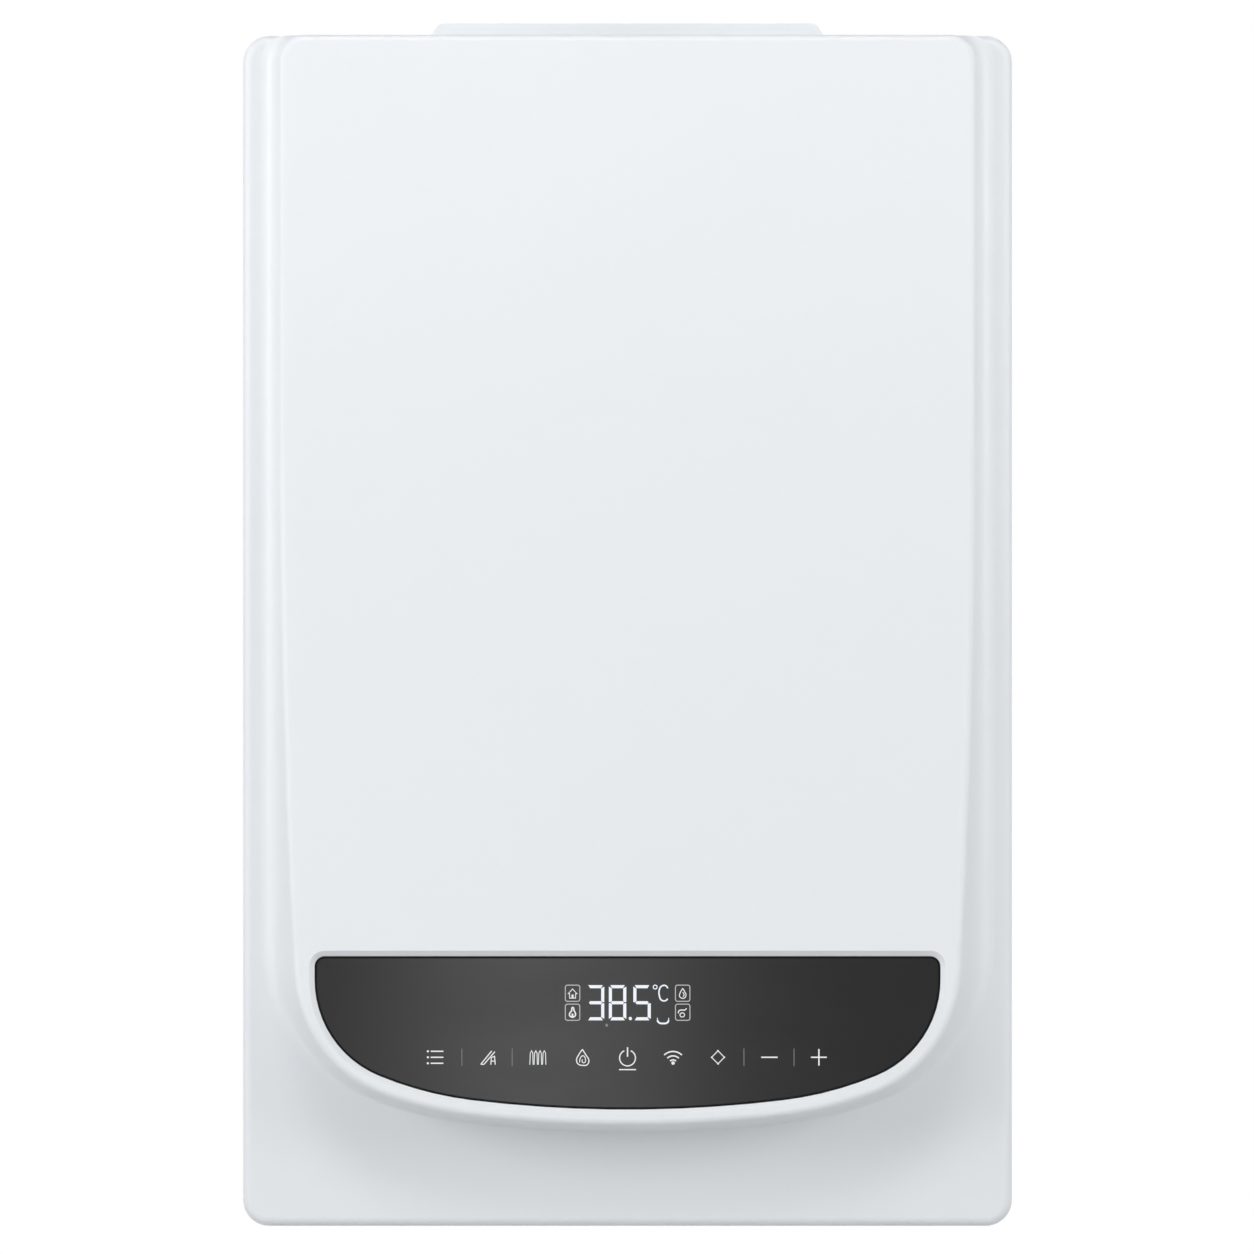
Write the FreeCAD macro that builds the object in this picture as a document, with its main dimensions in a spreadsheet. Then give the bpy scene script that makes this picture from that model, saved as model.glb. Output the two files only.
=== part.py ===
import FreeCAD, Part
import math
import os
from types import SimpleNamespace

import Sketcher
from FreeCAD import Placement, Rotation, Vector

# Wall-hung gas boiler, millimetres.
# The origin is the centre of the two wall bolts in the wall plane.
# The wall is the plane Y = 0, the front faces -Y, +X is right and +Z is up.

SIZES = [
    # casing
    ("case_width", 440.0, "casing, left to right"),
    ("case_height", 681.0, "casing, top to bottom"),
    ("wrap_depth", 165.0, "wall to the seam of the front cover"),
    ("base_depth", 220.0, "wall to the flat part of the cover's front"),
    ("case_corner", 15.0, "corner radius of the casing seen from the front"),
    ("sheet", 1.5, "steel sheet of the casing"),
    ("hole_above_case", 12.0, "wall bolts above the top of the casing"),
    ("tab_rise", 24.0, "hanging flange above the top of the casing"),
    ("tab_half_top", 113.0, "half width of the flange at its top"),
    ("tab_half_foot", 129.0, "half width of the flange at its foot"),
    ("tab_corner", 5.0, "corner radius of the flange"),
    ("wall_hole_radius", 4.5, "wall bolt hole"),
    ("wall_hole_spacing", 160.0, "between the upper wall bolts"),
    ("low_hole_spacing", 300.0, "between the lower wall bolts"),
    ("low_hole_rise", 18.0, "lower wall bolts above the bottom edge"),
    ("recess_height", 36.0, "bottom edge to the bottom panel"),
    ("lip_width", 30.0, "turned-in lower edge of the wrap"),
    ("flange_width", 24.0, "front flange of the wrap"),
    ("seal_inset", 8.0, "seal from the outer edge"),
    ("seal_width", 8.0, "seal strip width"),
    ("seal_thick", 5.0, "seal strip thickness"),
    # front cover
    ("cover_wall", 3.0, "wall of the front cover"),
    ("cover_edge", 5.0, "rounding of the cover's outer edge"),
    ("seam_gap", 0.5, "gap between wrap and cover"),
    ("face_step", 12.0, "raised panel above the flat part, upper half"),
    ("sweep_rise", 463.0, "bottom of the casing to the start of the sweep"),
    ("console_rise", 165.0, "bottom of the casing to the top of the flat console"),
    ("console_margin", 6.0, "flat console above the glass recess"),
    ("console_tilt", 7.4, "lean of the console from upright, degrees"),
    ("flank_lean", 0.45, "sideways run of the flank per unit of height"),
    ("flank_foot", 16.6, "side of the casing to the foot of the flank"),
    ("chin_lean", 0.12, "downward run of the chin below the glass per unit of height"),
    ("foot_blend", 10.0, "hollow blend at the foot of the flank"),
    ("panel_edge", 3.5, "rounding of the raised panel's edge"),
    ("top_draft", 1.5, "draft of the raised panel's top over the loft"),
    ("loft_height", 50.0, "height of the raised form before its face is cut"),
    ("glass_inset", 42.6, "side of the casing to the control glass"),
    ("glass_height", 86.6, "control glass, top to lowest point"),
    ("glass_corner", 5.5, "upper corner radius of the glass"),
    ("glass_model", 177.4, "half width of a glass with the two arcs below"),
    ("chin_radius", 731.0, "lower arc of the glass"),
    ("chin_angle", 6.93, "half opening of the lower arc, degrees"),
    ("shoulder_radius", 200.0, "shoulder arc of the glass"),
    ("side_radius", 59.0, "side arc of the glass"),
    ("rim_width", 9.7, "glass to the lower edge of the raised panel"),
    ("bevel_width", 3.2, "sloped border of the glass recess"),
    ("glass_depth", 2.4, "glass face below the panel"),
    ("glass_thick", 2.5, "control glass"),
    ("glass_gap", 0.3, "glass to the cover all round"),
    ("housing_rim", 3.0, "control housing beyond the glass"),
    ("housing_depth", 22.0, "control housing behind the panel"),
    ("housing_wall", 2.0, "control housing wall"),
    ("glass_ledge", 8.0, "ledge that carries the glass"),
    ("board_thick", 1.6, "circuit boards"),
    ("board_gap", 0.4, "display board to the housing wall"),
    ("stud_inset", 47.4, "upper display posts from the side of the glass"),
    ("stud_low", 70.0, "lower display posts from the middle"),
    ("stud_high", 20.0, "upper display posts below the console's top"),
    ("stud_radius", 3.0, "display posts"),
    ("stud_height", 8.0, "display posts"),
    ("catch_pin", 3.0, "locating pin radius"),
    ("catch_gap", 0.25, "locating pin in its hole"),
    ("catch_inset", 19.0, "locating pin from the side of the casing"),
    ("catch_top", 45.0, "upper pins below the top of the casing"),
    ("catch_low", 110.0, "lower pins above the bottom of the casing"),
    ("catch_block", 14.0, "block that carries the pin"),
    ("cover_screw_x", 120.0, "cover screws from the middle"),
    ("screw_shank", 2.0, "cover screw radius"),
    ("screw_head", 4.0, "cover screw head radius"),
    ("screw_slot_gap", 0.6, "cover screw in its open slot"),
    ("screw_reach", 12.0, "cover screw beyond the cover's wall"),
    ("screw_nose", 4.0, "cover screw in front of the slot's end"),
    ("washer_lip", 1.0, "cover screw washer beyond its head"),
    ("washer_thick", 3.0, "cover screw washer"),
    ("washer_gap", 0.3, "cover screw washer above its tab"),
    ("sink_gap", 0.1, "cover screw in its countersink"),
    ("screw_tab", 18.0, "slotted tab in front of the wrap"),
    # flue and fan
    ("flue_radius", 30.2, "flue socket bore"),
    ("flue_wall", 2.0, "flue socket wall"),
    ("flue_rim", 5.0, "flue socket above the casing"),
    ("flue_drop", 46.0, "flue socket below the top of the casing"),
    ("air_radius", 48.0, "air opening round the flue"),
    ("flue_plate_radius", 66.0, "flue flange"),
    ("flue_plate", 3.0, "flue flange thickness"),
    ("spoke_width", 8.0, "spokes of the flue flange"),
    ("flue_screw_circle", 57.0, "screw circle radius of the flue flange"),
    ("small_screw", 2.0, "small screw radius"),
    ("small_head", 4.0, "small screw head radius"),
    ("head_height", 2.4, "small screw head height"),
    ("neck_gap", 6.0, "back panel to the hood's neck"),
    ("neck_depth", 34.0, "hood neck, front to back"),
    ("neck_half", 42.0, "half width of the hood's neck"),
    ("fan_width", 60.0, "fan housing, front to back"),
    ("scroll_radius", 60.0, "fan scroll"),
    ("fan_drop", 108.0, "fan axis below the top of the casing"),
    ("fan_wall", 1.5, "fan and hood sheet"),
    ("collar_height", 20.0, "fan outlet collar"),
    ("collar_gap", 0.3, "fan collar in the flue socket"),
    ("collar_top", 30.0, "fan collar below the top of the casing"),
    ("inlet_radius", 32.0, "fan inlet"),
    ("wheel_radius", 50.0, "fan wheel"),
    ("wheel_plate", 2.0, "fan wheel back plate"),
    ("blade_length", 30.0, "fan blades along the axis"),
    ("blade_depth", 15.0, "fan blades along the radius"),
    ("blade_thick", 1.5, "fan blades"),
    ("wheel_gap", 6.0, "fan wheel to the front wall"),
    ("fan_hub", 9.0, "fan hub radius"),
    ("shaft_radius", 4.0, "fan and pump shaft radius"),
    ("bearing_gap", 0.05, "shaft in its bearing"),
    ("stator_width", 70.0, "fan motor stack"),
    ("stator_height", 58.0, "fan motor stack"),
    ("stator_depth", 22.0, "fan motor stack"),
    ("motor_post", 14.0, "fan motor off the housing"),
    ("coil_radius", 12.0, "fan motor coil"),
    ("coil_length", 34.0, "fan motor coil"),
    ("hood_gap", 6.0, "scroll to the top of the hood"),
    ("hood_height", 44.0, "hood above the exchanger"),
    ("switch_radius", 26.0, "air pressure switch"),
    ("switch_depth", 28.0, "air pressure switch"),
    ("switch_inset", 55.0, "air pressure switch from the side of the casing"),
    ("tube_bend", 14.0, "bend of the pressure tube"),
    ("tube_radius", 4.0, "silicone tube"),
    ("nipple_radius", 2.5, "tube nipple"),
    # heat
    ("side_bay", 112.0, "side of the casing to the exchanger"),
    ("heat_back", 22.0, "wall to the exchanger"),
    ("heat_depth", 138.0, "exchanger, front to back"),
    ("heat_wall", 1.5, "exchanger and chamber sheet"),
    ("fin_height", 58.0, "exchanger, top to bottom"),
    ("fin_thick", 0.8, "exchanger fin"),
    ("fin_margin", 1.0, "fins inside their frame"),
    ("heat_tube", 8.0, "exchanger tube radius"),
    ("tube_pitch", 27.0, "between the exchanger tubes"),
    ("tube_reach", 4.0, "straight tube beyond the frame"),
    ("tube_wall", 1.0, "water pipe wall"),
    ("burner_height", 46.0, "burner frame, top to bottom"),
    ("bar_width", 9.0, "burner bar"),
    ("bar_height", 36.0, "burner bar"),
    ("mouth_radius", 4.0, "burner bar mouth"),
    ("mouth_depth", 14.0, "burner bar mouth"),
    ("slot_width", 1.6, "burner slot"),
    ("slot_depth", 3.0, "burner slot"),
    ("board_wall", 10.0, "insulation board"),
    ("window_margin", 14.0, "chamber window inside the front"),
    ("sight_radius", 12.0, "sight hole"),
    ("sight_rim", 5.0, "sight glass beyond its hole"),
    ("sight_thick", 3.0, "sight glass"),
    ("manifold_radius", 9.0, "gas manifold"),
    ("manifold_reach", 22.0, "gas manifold in front of the burner"),
    ("manifold_rise", 12.0, "gas manifold above the burner's lower edge"),
    ("injector_radius", 3.0, "gas injector"),
    ("electrode_rise", 14.0, "electrodes above the burner"),
    ("electrode_x", 40.0, "electrodes from the middle"),
    ("ceramic_radius", 4.0, "electrode ceramic"),
    ("pin_radius", 1.2, "electrode pin"),
    ("pin_tail", 6.0, "electrode pin in front of its ceramic"),
    ("pin_reach", 24.0, "electrode pin behind its ceramic"),
    ("ceramic_tail", 12.0, "electrode ceramic in front of the chamber"),
    ("ceramic_tip", 4.0, "electrode ceramic inside the chamber"),
    ("ceramic_lip", 3.0, "collar of the electrode ceramic"),
    ("ceramic_collar", 4.0, "thickness of that collar"),
    ("igniter_width", 56.0, "igniter box"),
    ("igniter_depth", 36.0, "igniter box"),
    ("igniter_height", 60.0, "igniter box"),
    ("lead_radius", 3.0, "ignition lead"),
    # gas
    ("row_depth", 85.0, "wall to the row of connections"),
    ("stub_rise", 7.0, "connections above the bottom edge"),
    ("thread_length", 24.0, "thread of the connections"),
    ("neck_cut", 1.5, "plain neck below the thread radius"),
    ("gas_radius", 13.2, "gas connection thread"),
    ("gas_bore", 8.0, "gas connection bore"),
    ("valve_lift", 16.0, "gas valve above the bottom panel"),
    ("valve_width", 68.0, "gas valve"),
    ("valve_depth", 60.0, "gas valve"),
    ("valve_height", 86.0, "gas valve"),
    ("gas_coil", 14.0, "gas valve coil radius"),
    ("gas_coil_length", 34.0, "gas valve coil"),
    ("feed_radius", 6.0, "gas feed pipe"),
    ("feed_rise", 34.0, "gas feed above the valve"),
    ("feed_climb", 40.0, "manifold above the gas feed"),
    ("feed_bend", 16.0, "bends of the gas feed"),
    # water
    ("block_inset", 66.0, "side of the casing to the water blocks"),
    ("block_width", 60.0, "water block, left to right and front to back"),
    ("flow_block_height", 110.0, "flow block"),
    ("bore_end", 14.0, "top of the flow block's bore below the block's top"),
    ("guide_depth", 20.0, "spindle guide in the flow block"),
    ("stem_start", 24.0, "lower end of the spindle above the bottom panel"),
    ("stem_reach", 20.0, "spindle above the flow block"),
    ("plug_rise", 40.0, "spindle plug above the bottom panel"),
    ("return_block_height", 98.0, "return block"),
    ("stub_radius", 13.2, "heating connection thread"),
    ("stub_bore", 9.5, "heating connection bore"),
    ("tap_x", 80.0, "tap water connections from the middle"),
    ("tap_radius", 10.48, "tap water connection thread"),
    ("tap_bore", 6.5, "tap water connection bore"),
    ("hole_gap", 1.0, "pipe in its hole in the bottom panel"),
    ("pipe_radius", 8.0, "water pipe"),
    ("pipe_bend", 14.0, "bends of the water pipes"),
    ("port_high", 80.0, "heating ports of the plate exchanger above the panel"),
    ("port_low", 40.0, "tap ports of the plate exchanger above the panel"),
    ("plate_margin", 15.0, "plate exchanger beyond its ports"),
    ("plate_depth", 40.0, "plate exchanger, front to back"),
    ("plate_step", 1.2, "plate edges beyond the core"),
    ("rod_radius", 2.5, "three-way valve rod"),
    ("rod_gap", 0.1, "rod in its guide"),
    ("plug_radius", 8.5, "three-way valve plug"),
    ("plug_length", 8.0, "three-way valve plug"),
    ("spindle_travel", 8.0, "three-way valve travel"),
    ("actuator_width", 46.0, "three-way valve actuator"),
    ("actuator_height", 44.0, "three-way valve actuator"),
    ("pump_radius", 42.0, "pump volute"),
    ("pump_width", 38.0, "pump volute, front to back"),
    ("pump_neck", 6.0, "pump above the return block"),
    ("pump_wall", 4.0, "pump wall"),
    ("motor_radius", 38.0, "pump motor"),
    ("motor_length", 70.0, "pump motor"),
    ("can_radius", 22.0, "pump rotor space"),
    ("rotor_radius", 20.0, "pump rotor"),
    ("rotor_wheel", 31.0, "pump wheel"),
    ("outlet_offset", 20.0, "pump outlet from its axis"),
    ("outlet_radius", 11.0, "pump outlet"),
    ("outlet_rise", 8.0, "pump outlet above the volute"),
    ("vent_radius", 11.0, "air vent"),
    ("vent_height", 36.0, "air vent"),
    ("sensor_radius", 15.0, "flow sensor"),
    ("sensor_height", 26.0, "flow sensor"),
    ("turbine_space", 9.0, "flow sensor bore round the turbine"),
    ("turbine_radius", 8.0, "flow sensor turbine"),
    ("turbine_pin", 1.5, "flow sensor pin"),
    ("relief_radius", 12.0, "relief valve"),
    ("relief_length", 22.0, "relief valve"),
    ("relief_rise", 62.0, "relief valve above the bottom panel"),
    ("drip_radius", 7.0, "relief valve outlet"),
    ("drip_thread", 12.0, "thread of the relief valve outlet"),
    ("drip_neck", 1.0, "plain neck below the outlet's thread radius"),
    ("knob_radius", 11.0, "knobs"),
    ("knob_height", 18.0, "knobs"),
    ("knob_gap", 1.0, "knob to its seat"),
    ("knob_stem", 3.0, "knob stem"),
    ("knob_grip", 2.2, "finger grooves of the knobs"),
    ("filling_width", 24.0, "filling valve"),
    ("filling_height", 30.0, "filling valve"),
    ("filling_offset", 34.0, "filling valve from the return connection"),
    ("vessel_thick", 60.0, "expansion vessel, left to right"),
    ("vessel_depth", 142.0, "expansion vessel, front to back"),
    ("vessel_rise", 253.5, "bottom panel to the expansion vessel"),
    ("vessel_drop", 70.0, "expansion vessel below the top of the casing"),
    ("vessel_gap", 8.0, "expansion vessel from the side of the casing"),
    ("vessel_back", 14.0, "wall to the expansion vessel"),
    ("vessel_round", 22.0, "expansion vessel edges"),
    ("vessel_wall", 1.5, "expansion vessel sheet"),
    ("hose_radius", 5.0, "vessel hose"),
    ("hose_wall", 1.5, "vessel hose wall"),
    ("hose_inset", 14.0, "vessel hose from the side of the casing"),
    ("hose_depth", 104.0, "wall to the vessel hose"),
    # control
    ("box_left", 30.0, "control box from the left side of the casing"),
    ("box_width", 256.0, "control box"),
    ("box_depth", 40.0, "control box"),
    ("box_height", 110.0, "control box"),
    ("box_lift", 14.0, "control box above the bottom panel"),
    ("box_gap", 10.0, "control box to the cover"),
    ("box_wall", 2.0, "control box wall"),
    ("lid_thick", 2.5, "control box lid"),
    ("lid_lip", 1.0, "lid beyond the control box"),
    ("leg_left", 90.0, "left leg from the left side of the control box"),
    ("leg_right", 26.0, "right leg from the right side of the control box"),
    ("leg_half", 8.0, "half width of the control box legs"),
    ("leg_depth", 14.0, "control box legs, front to back"),
    ("foot_reach", 42.0, "feet of the control box legs, front to back"),
    ("foot_thick", 3.0, "feet of the control box legs"),
    ("leg_rise", 50.0, "control box legs up the back of the box"),
    ("post_inset", 12.0, "board posts from the edges of the control box"),
    ("post_radius", 4.0, "board posts"),
    ("post_height", 8.0, "board posts"),
    ("board_margin", 1.0, "main board to the control box"),
    ("relay_start", 30.0, "first relay from the left of the control box"),
    ("relay_pitch", 26.0, "relays"),
    ("relay_width", 20.0, "relays"),
    ("relay_tall", 16.0, "relays, and their place above the box's floor"),
    ("relay_depth", 16.0, "relays"),
    ("transformer_inset", 26.0, "transformer from the right of the control box"),
    ("transformer_width", 44.0, "transformer"),
    ("transformer_tall", 40.0, "transformer"),
    ("transformer_depth", 22.0, "transformer"),
    ("capacitor_start", 40.0, "first capacitor from the left of the control box"),
    ("capacitor_pitch", 24.0, "capacitors"),
    ("capacitor_drop", 34.0, "capacitors below the top of the control box"),
    ("capacitor_radius", 6.0, "capacitors"),
    ("capacitor_length", 18.0, "capacitors"),
    ("chip_inset", 96.0, "chip from the right of the control box"),
    ("chip_drop", 22.0, "chip below the top of the control box"),
    ("chip_side", 24.0, "chip"),
    ("chip_thick", 3.0, "chip"),
    ("gland_radius", 9.0, "cable gland"),
    ("gland_bore", 3.6, "cable gland bore"),
    ("gland_x", 45.0, "cable gland left of the gas connection"),
    ("gland_depth", 140.0, "wall to the cable gland"),
]

BAR_COUNT = 12
SLOT_COUNT = 12
FIN_COUNT = 34
TUBE_COUNT = 5
PLATE_COUNT = 9
BLADE_COUNT = 20
VANE_COUNT = 6
GRIP_COUNT = 8

DOC = FreeCAD.newDocument("boiler")
SHEET = DOC.addObject("Spreadsheet::Sheet", "Sizes")
PIECES = []


class Size:
    """A length that keeps its formula in the sheet's names beside its value."""

    def __init__(self, text, value):
        self.text = text
        self.value = value

    def joined(self, sign, other, value):
        return Size(f"({self.text} {sign} {other.text})", value)

    def __add__(self, other):
        other = as_size(other)
        return self.joined("+", other, self.value + other.value)

    def __sub__(self, other):
        other = as_size(other)
        return self.joined("-", other, self.value - other.value)

    def __mul__(self, other):
        other = as_size(other)
        return self.joined("*", other, self.value * other.value)

    def __truediv__(self, other):
        other = as_size(other)
        return self.joined("/", other, self.value / other.value)

    def __neg__(self):
        return as_size(0) - self

    def __radd__(self, other):
        return as_size(other) + self

    def __rsub__(self, other):
        return as_size(other) - self

    def __rmul__(self, other):
        return as_size(other) * self


def as_size(number):
    """Give a plain number the same form as a size from the sheet."""
    if isinstance(number, Size):
        return number
    return Size(repr(float(number)), float(number))


def value(number):
    """The plain value of a size or number."""
    return as_size(number).value


def read_sheet():
    """Fill the sheet and return its sizes by name."""
    names = {}
    for row, (alias, number, meaning) in enumerate(SIZES, start=1):
        SHEET.set(f"A{row}", alias)
        SHEET.set(f"B{row}", repr(number))
        SHEET.set(f"C{row}", meaning)
        SHEET.setAlias(f"B{row}", alias)
        names[alias] = Size(f"Sizes.{alias}", number)
    DOC.recompute()
    return SimpleNamespace(**names)


S = read_sheet()

# Levels and planes that several pieces share.
HALF = S.case_width / 2
TOP = -S.hole_above_case
BOTTOM = TOP - S.case_height
FLOOR = BOTTOM + S.recess_height
DECK = FLOOR + S.sheet
BACK = -S.sheet
SEAM = -S.wrap_depth
ROW = -S.row_depth

TURNS = {
    "+z": Rotation(),
    "-z": Rotation(Vector(1, 0, 0), 180),
    "+x": Rotation(Vector(0, 1, 0), 90),
    "-x": Rotation(Vector(0, 1, 0), -90),
    "+y": Rotation(Vector(1, 0, 0), -90),
    "-y": Rotation(Vector(1, 0, 0), 90),
}


def bind(thing, **sizes):
    """Bind properties of a document object to formulas of the sheet."""
    for name, size in sizes.items():
        thing.setExpression(name, as_size(size).text)


def place(thing, point, turn="+z"):
    """Put a document object at a point given in sizes, turned to an axis."""
    thing.Placement = Placement(Vector(), TURNS[turn])
    for letter, size in zip("xyz", point):
        thing.setExpression(f"Placement.Base.{letter}", as_size(size).text)


def box(name, x, y, z):
    """A box from its low and high bound along each axis."""
    made = DOC.addObject("Part::Box", name)
    bind(made, Length=x[1] - as_size(x[0]), Width=y[1] - as_size(y[0]), Height=z[1] - as_size(z[0]))
    place(made, (x[0], y[0], z[0]))
    return made


def rod(name, radius, start, length, turn="+z"):
    """A cylinder from the middle of its first face along an axis."""
    made = DOC.addObject("Part::Cylinder", name)
    bind(made, Radius=radius, Height=length)
    place(made, start, turn)
    return made


def taper(name, first, last, start, length, turn="+z"):
    """A cone frustum from the middle of its first face along an axis."""
    made = DOC.addObject("Part::Cone", name)
    bind(made, Radius1=first, Radius2=last, Height=length)
    place(made, start, turn)
    return made


def hexagon(name, radius, start, length, turn="+z"):
    """A six-sided prism from the middle of its first face along an axis."""
    made = DOC.addObject("Part::Prism", name)
    made.Polygon = 6
    bind(made, Circumradius=radius, Height=length)
    place(made, start, turn)
    return made


def fuse(name, *parts):
    made = DOC.addObject("Part::MultiFuse", name)
    made.Shapes = list(parts)
    made.Refine = True
    return made


def group(name, *parts):
    """Separate solids kept together."""
    made = DOC.addObject("Part::Compound", name)
    made.Links = list(parts)
    return made


def cut(name, base, *tools):
    made = DOC.addObject("Part::Cut", name)
    made.Base = base
    made.Tool = tools[0] if len(tools) == 1 else fuse(name + "_tools", *tools)
    made.Refine = True
    return made


def rounded(name, base, radius, chosen):
    """Round the edges of a document object that the test picks."""
    DOC.recompute()
    made = DOC.addObject("Part::Fillet", name)
    made.Base = base
    size = value(radius)
    made.Edges = [(i, size, size) for i, edge in enumerate(base.Shape.Edges, start=1) if chosen(edge)]
    return made


def shaped(name, shape):
    """A document object that carries a shape of its own."""
    made = DOC.addObject("Part::Feature", name)
    made.Shape = shape
    return made


def piece(label, thing):
    """Name a finished piece; its node and file take this name."""
    thing.Label = label
    PIECES.append(thing)
    return thing


def along(edge, letter):
    """True for a straight edge along one axis."""
    if edge.Curve.TypeId != "Part::GeomLine":
        return False
    return abs(getattr(edge.Curve.Direction, letter)) > 0.999


def bent_wire(points, bend):
    """A path through points with its corners rounded."""
    spots = [Vector(*(value(number) for number in point)) for point in points]
    edges = []
    start = spots[0]
    for before, corner, after in zip(spots, spots[1:], spots[2:]):
        come = (corner - before).normalize()
        leave = (after - corner).normalize()
        turn = come.getAngle(leave)
        reach = bend * math.tan(turn / 2)
        first = corner - come * reach
        last = corner + leave * reach
        inward = (leave - come).normalize()
        middle = corner + inward * (bend / math.cos(turn / 2) - bend)
        edges.append(Part.makeLine(start, first))
        edges.append(Part.Arc(first, middle, last).toShape())
        start = last
    edges.append(Part.makeLine(start, spots[-1]))
    return Part.Wire(edges)


def swept(path, radius):
    """A round bar along a path."""
    first = path.OrderedEdges[0]
    start = first.valueAt(first.FirstParameter)
    ahead = first.tangentAt(first.FirstParameter)
    ring = Part.Wire(Part.makeCircle(radius, start, ahead))
    return path.makePipeShell([ring], True, False)


def bent_tube(points, radius, bend, wall=None):
    """A bent pipe, hollow where a wall is given."""
    path = bent_wire(points, value(bend))
    outer = swept(path, value(radius))
    if wall is None:
        return outer
    return outer.cut(swept(path, value(radius) - value(wall)))


def plane_of(body, role):
    """One of a body's own origin planes or axes."""
    return next(part for part in body.Origin.OriginFeatures if part.Role == role)


def sketch_on(body, role, name):
    made = body.newObject("Sketcher::SketchObject", name)
    made.AttachmentSupport = [(plane_of(body, role), "")]
    made.MapMode = "FlatFace"
    return made


def draw_circle(sketch, radius, x=0, y=0):
    """A circle whose radius and middle are bound to the sheet."""
    middle = Vector(value(x), value(y), 0)
    ring = sketch.addGeometry(Part.Circle(middle, Vector(0, 0, 1), value(radius)))
    rule = sketch.addConstraint(Sketcher.Constraint("Radius", ring, value(radius)))
    sketch.setExpression(f"Constraints[{rule}]", as_size(radius).text)
    pin_point(sketch, ring, 3, x, y)


def pin_point(sketch, shape, spot, x, y):
    """Hold a point of a sketch at sizes from its origin."""
    for kind, size in (("DistanceX", x), ("DistanceY", y)):
        rule = sketch.addConstraint(Sketcher.Constraint(kind, -1, 1, shape, spot, value(size)))
        sketch.setExpression(f"Constraints[{rule}]", as_size(size).text)


def draw_outline(sketch, points):
    """A closed outline of straight lines whose corners are bound to the sheet."""
    spots = [Vector(value(x), value(y), 0) for x, y in points]
    lines = []
    for start, end in zip(spots, spots[1:] + spots[:1]):
        lines.append(sketch.addGeometry(Part.LineSegment(start, end)))
    for this, following in zip(lines, lines[1:] + lines[:1]):
        sketch.addConstraint(Sketcher.Constraint("Coincident", this, 2, following, 1))
    for line, (x, y) in zip(lines, points):
        pin_point(sketch, line, 1, x, y)


def pad(body, sketch, name, length):
    made = body.newObject("PartDesign::Pad", name)
    made.Profile = sketch
    bind(made, Length=length)
    sketch.Visibility = False
    body.Tip = made
    return made


def pocket_through(body, sketch, name):
    """A pocket through the whole body, both ways."""
    made = body.newObject("PartDesign::Pocket", name)
    made.Profile = sketch
    made.Type = 1
    made.Midplane = True
    body.Tip = made
    return made


def turned_copies(body, feature, name, count):
    """Copies of a feature round the body's Z axis."""
    made = body.newObject("PartDesign::PolarPattern", name)
    made.Originals = [feature]
    made.Axis = (plane_of(body, "Z_Axis"), [""])
    made.Angle = 360
    made.Occurrences = count
    body.Tip = made
    return made


def casing_outline(name, inset, y):
    """The casing's rounded outline, pulled in, as a bar from one depth to another."""
    raw = box(name + "_block", (-HALF + inset, HALF - inset), y, (BOTTOM + inset, TOP - inset))
    return rounded(name, raw, S.case_corner - inset, lambda edge: along(edge, "y"))


def make_back_panel():
    body = DOC.addObject("PartDesign::Body", "back_panel_body")
    sketch = sketch_on(body, "XZ_Plane", "back_panel_outline")
    draw_outline(sketch, [
        (-HALF, BOTTOM),
        (HALF, BOTTOM),
        (HALF, TOP),
        (S.tab_half_foot, TOP),
        (S.tab_half_top, TOP + S.tab_rise),
        (-S.tab_half_top, TOP + S.tab_rise),
        (-S.tab_half_foot, TOP),
        (-HALF, TOP),
    ])
    plate = pad(body, sketch, "back_panel_plate", S.sheet)
    DOC.recompute()
    corners = [
        f"Edge{number}" for number, edge in enumerate(plate.Shape.Edges, start=1)
        if along(edge, "y") and abs(edge.CenterOfMass.x) > HALF.value - 1
    ]
    outer = body.newObject("PartDesign::Fillet", "back_panel_corners")
    outer.Base = (plate, corners)
    bind(outer, Radius=S.case_corner)
    body.Tip = outer
    DOC.recompute()
    tab_corners = [
        f"Edge{number}" for number, edge in enumerate(outer.Shape.Edges, start=1)
        if along(edge, "y") and edge.CenterOfMass.z > TOP.value + 1
    ]
    tab = body.newObject("PartDesign::Fillet", "back_panel_tab_corners")
    tab.Base = (outer, tab_corners)
    bind(tab, Radius=S.tab_corner)
    body.Tip = tab
    holes = sketch_on(body, "XZ_Plane", "back_panel_holes")
    for side in (-1, 1):
        draw_circle(holes, S.wall_hole_radius, side * S.wall_hole_spacing / 2, 0)
        draw_circle(holes, S.wall_hole_radius, side * S.low_hole_spacing / 2, BOTTOM + S.low_hole_rise)
    pocket_through(body, holes, "back_panel_drilling")
    piece("back_panel", body)


def catch_points():
    """The middles of the four locating pins, seen from the front."""
    x = HALF - S.catch_inset
    heights = (TOP - S.catch_top, BOTTOM + S.catch_low)
    return [(side * x, z) for side in (-1, 1) for z in heights]


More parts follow.
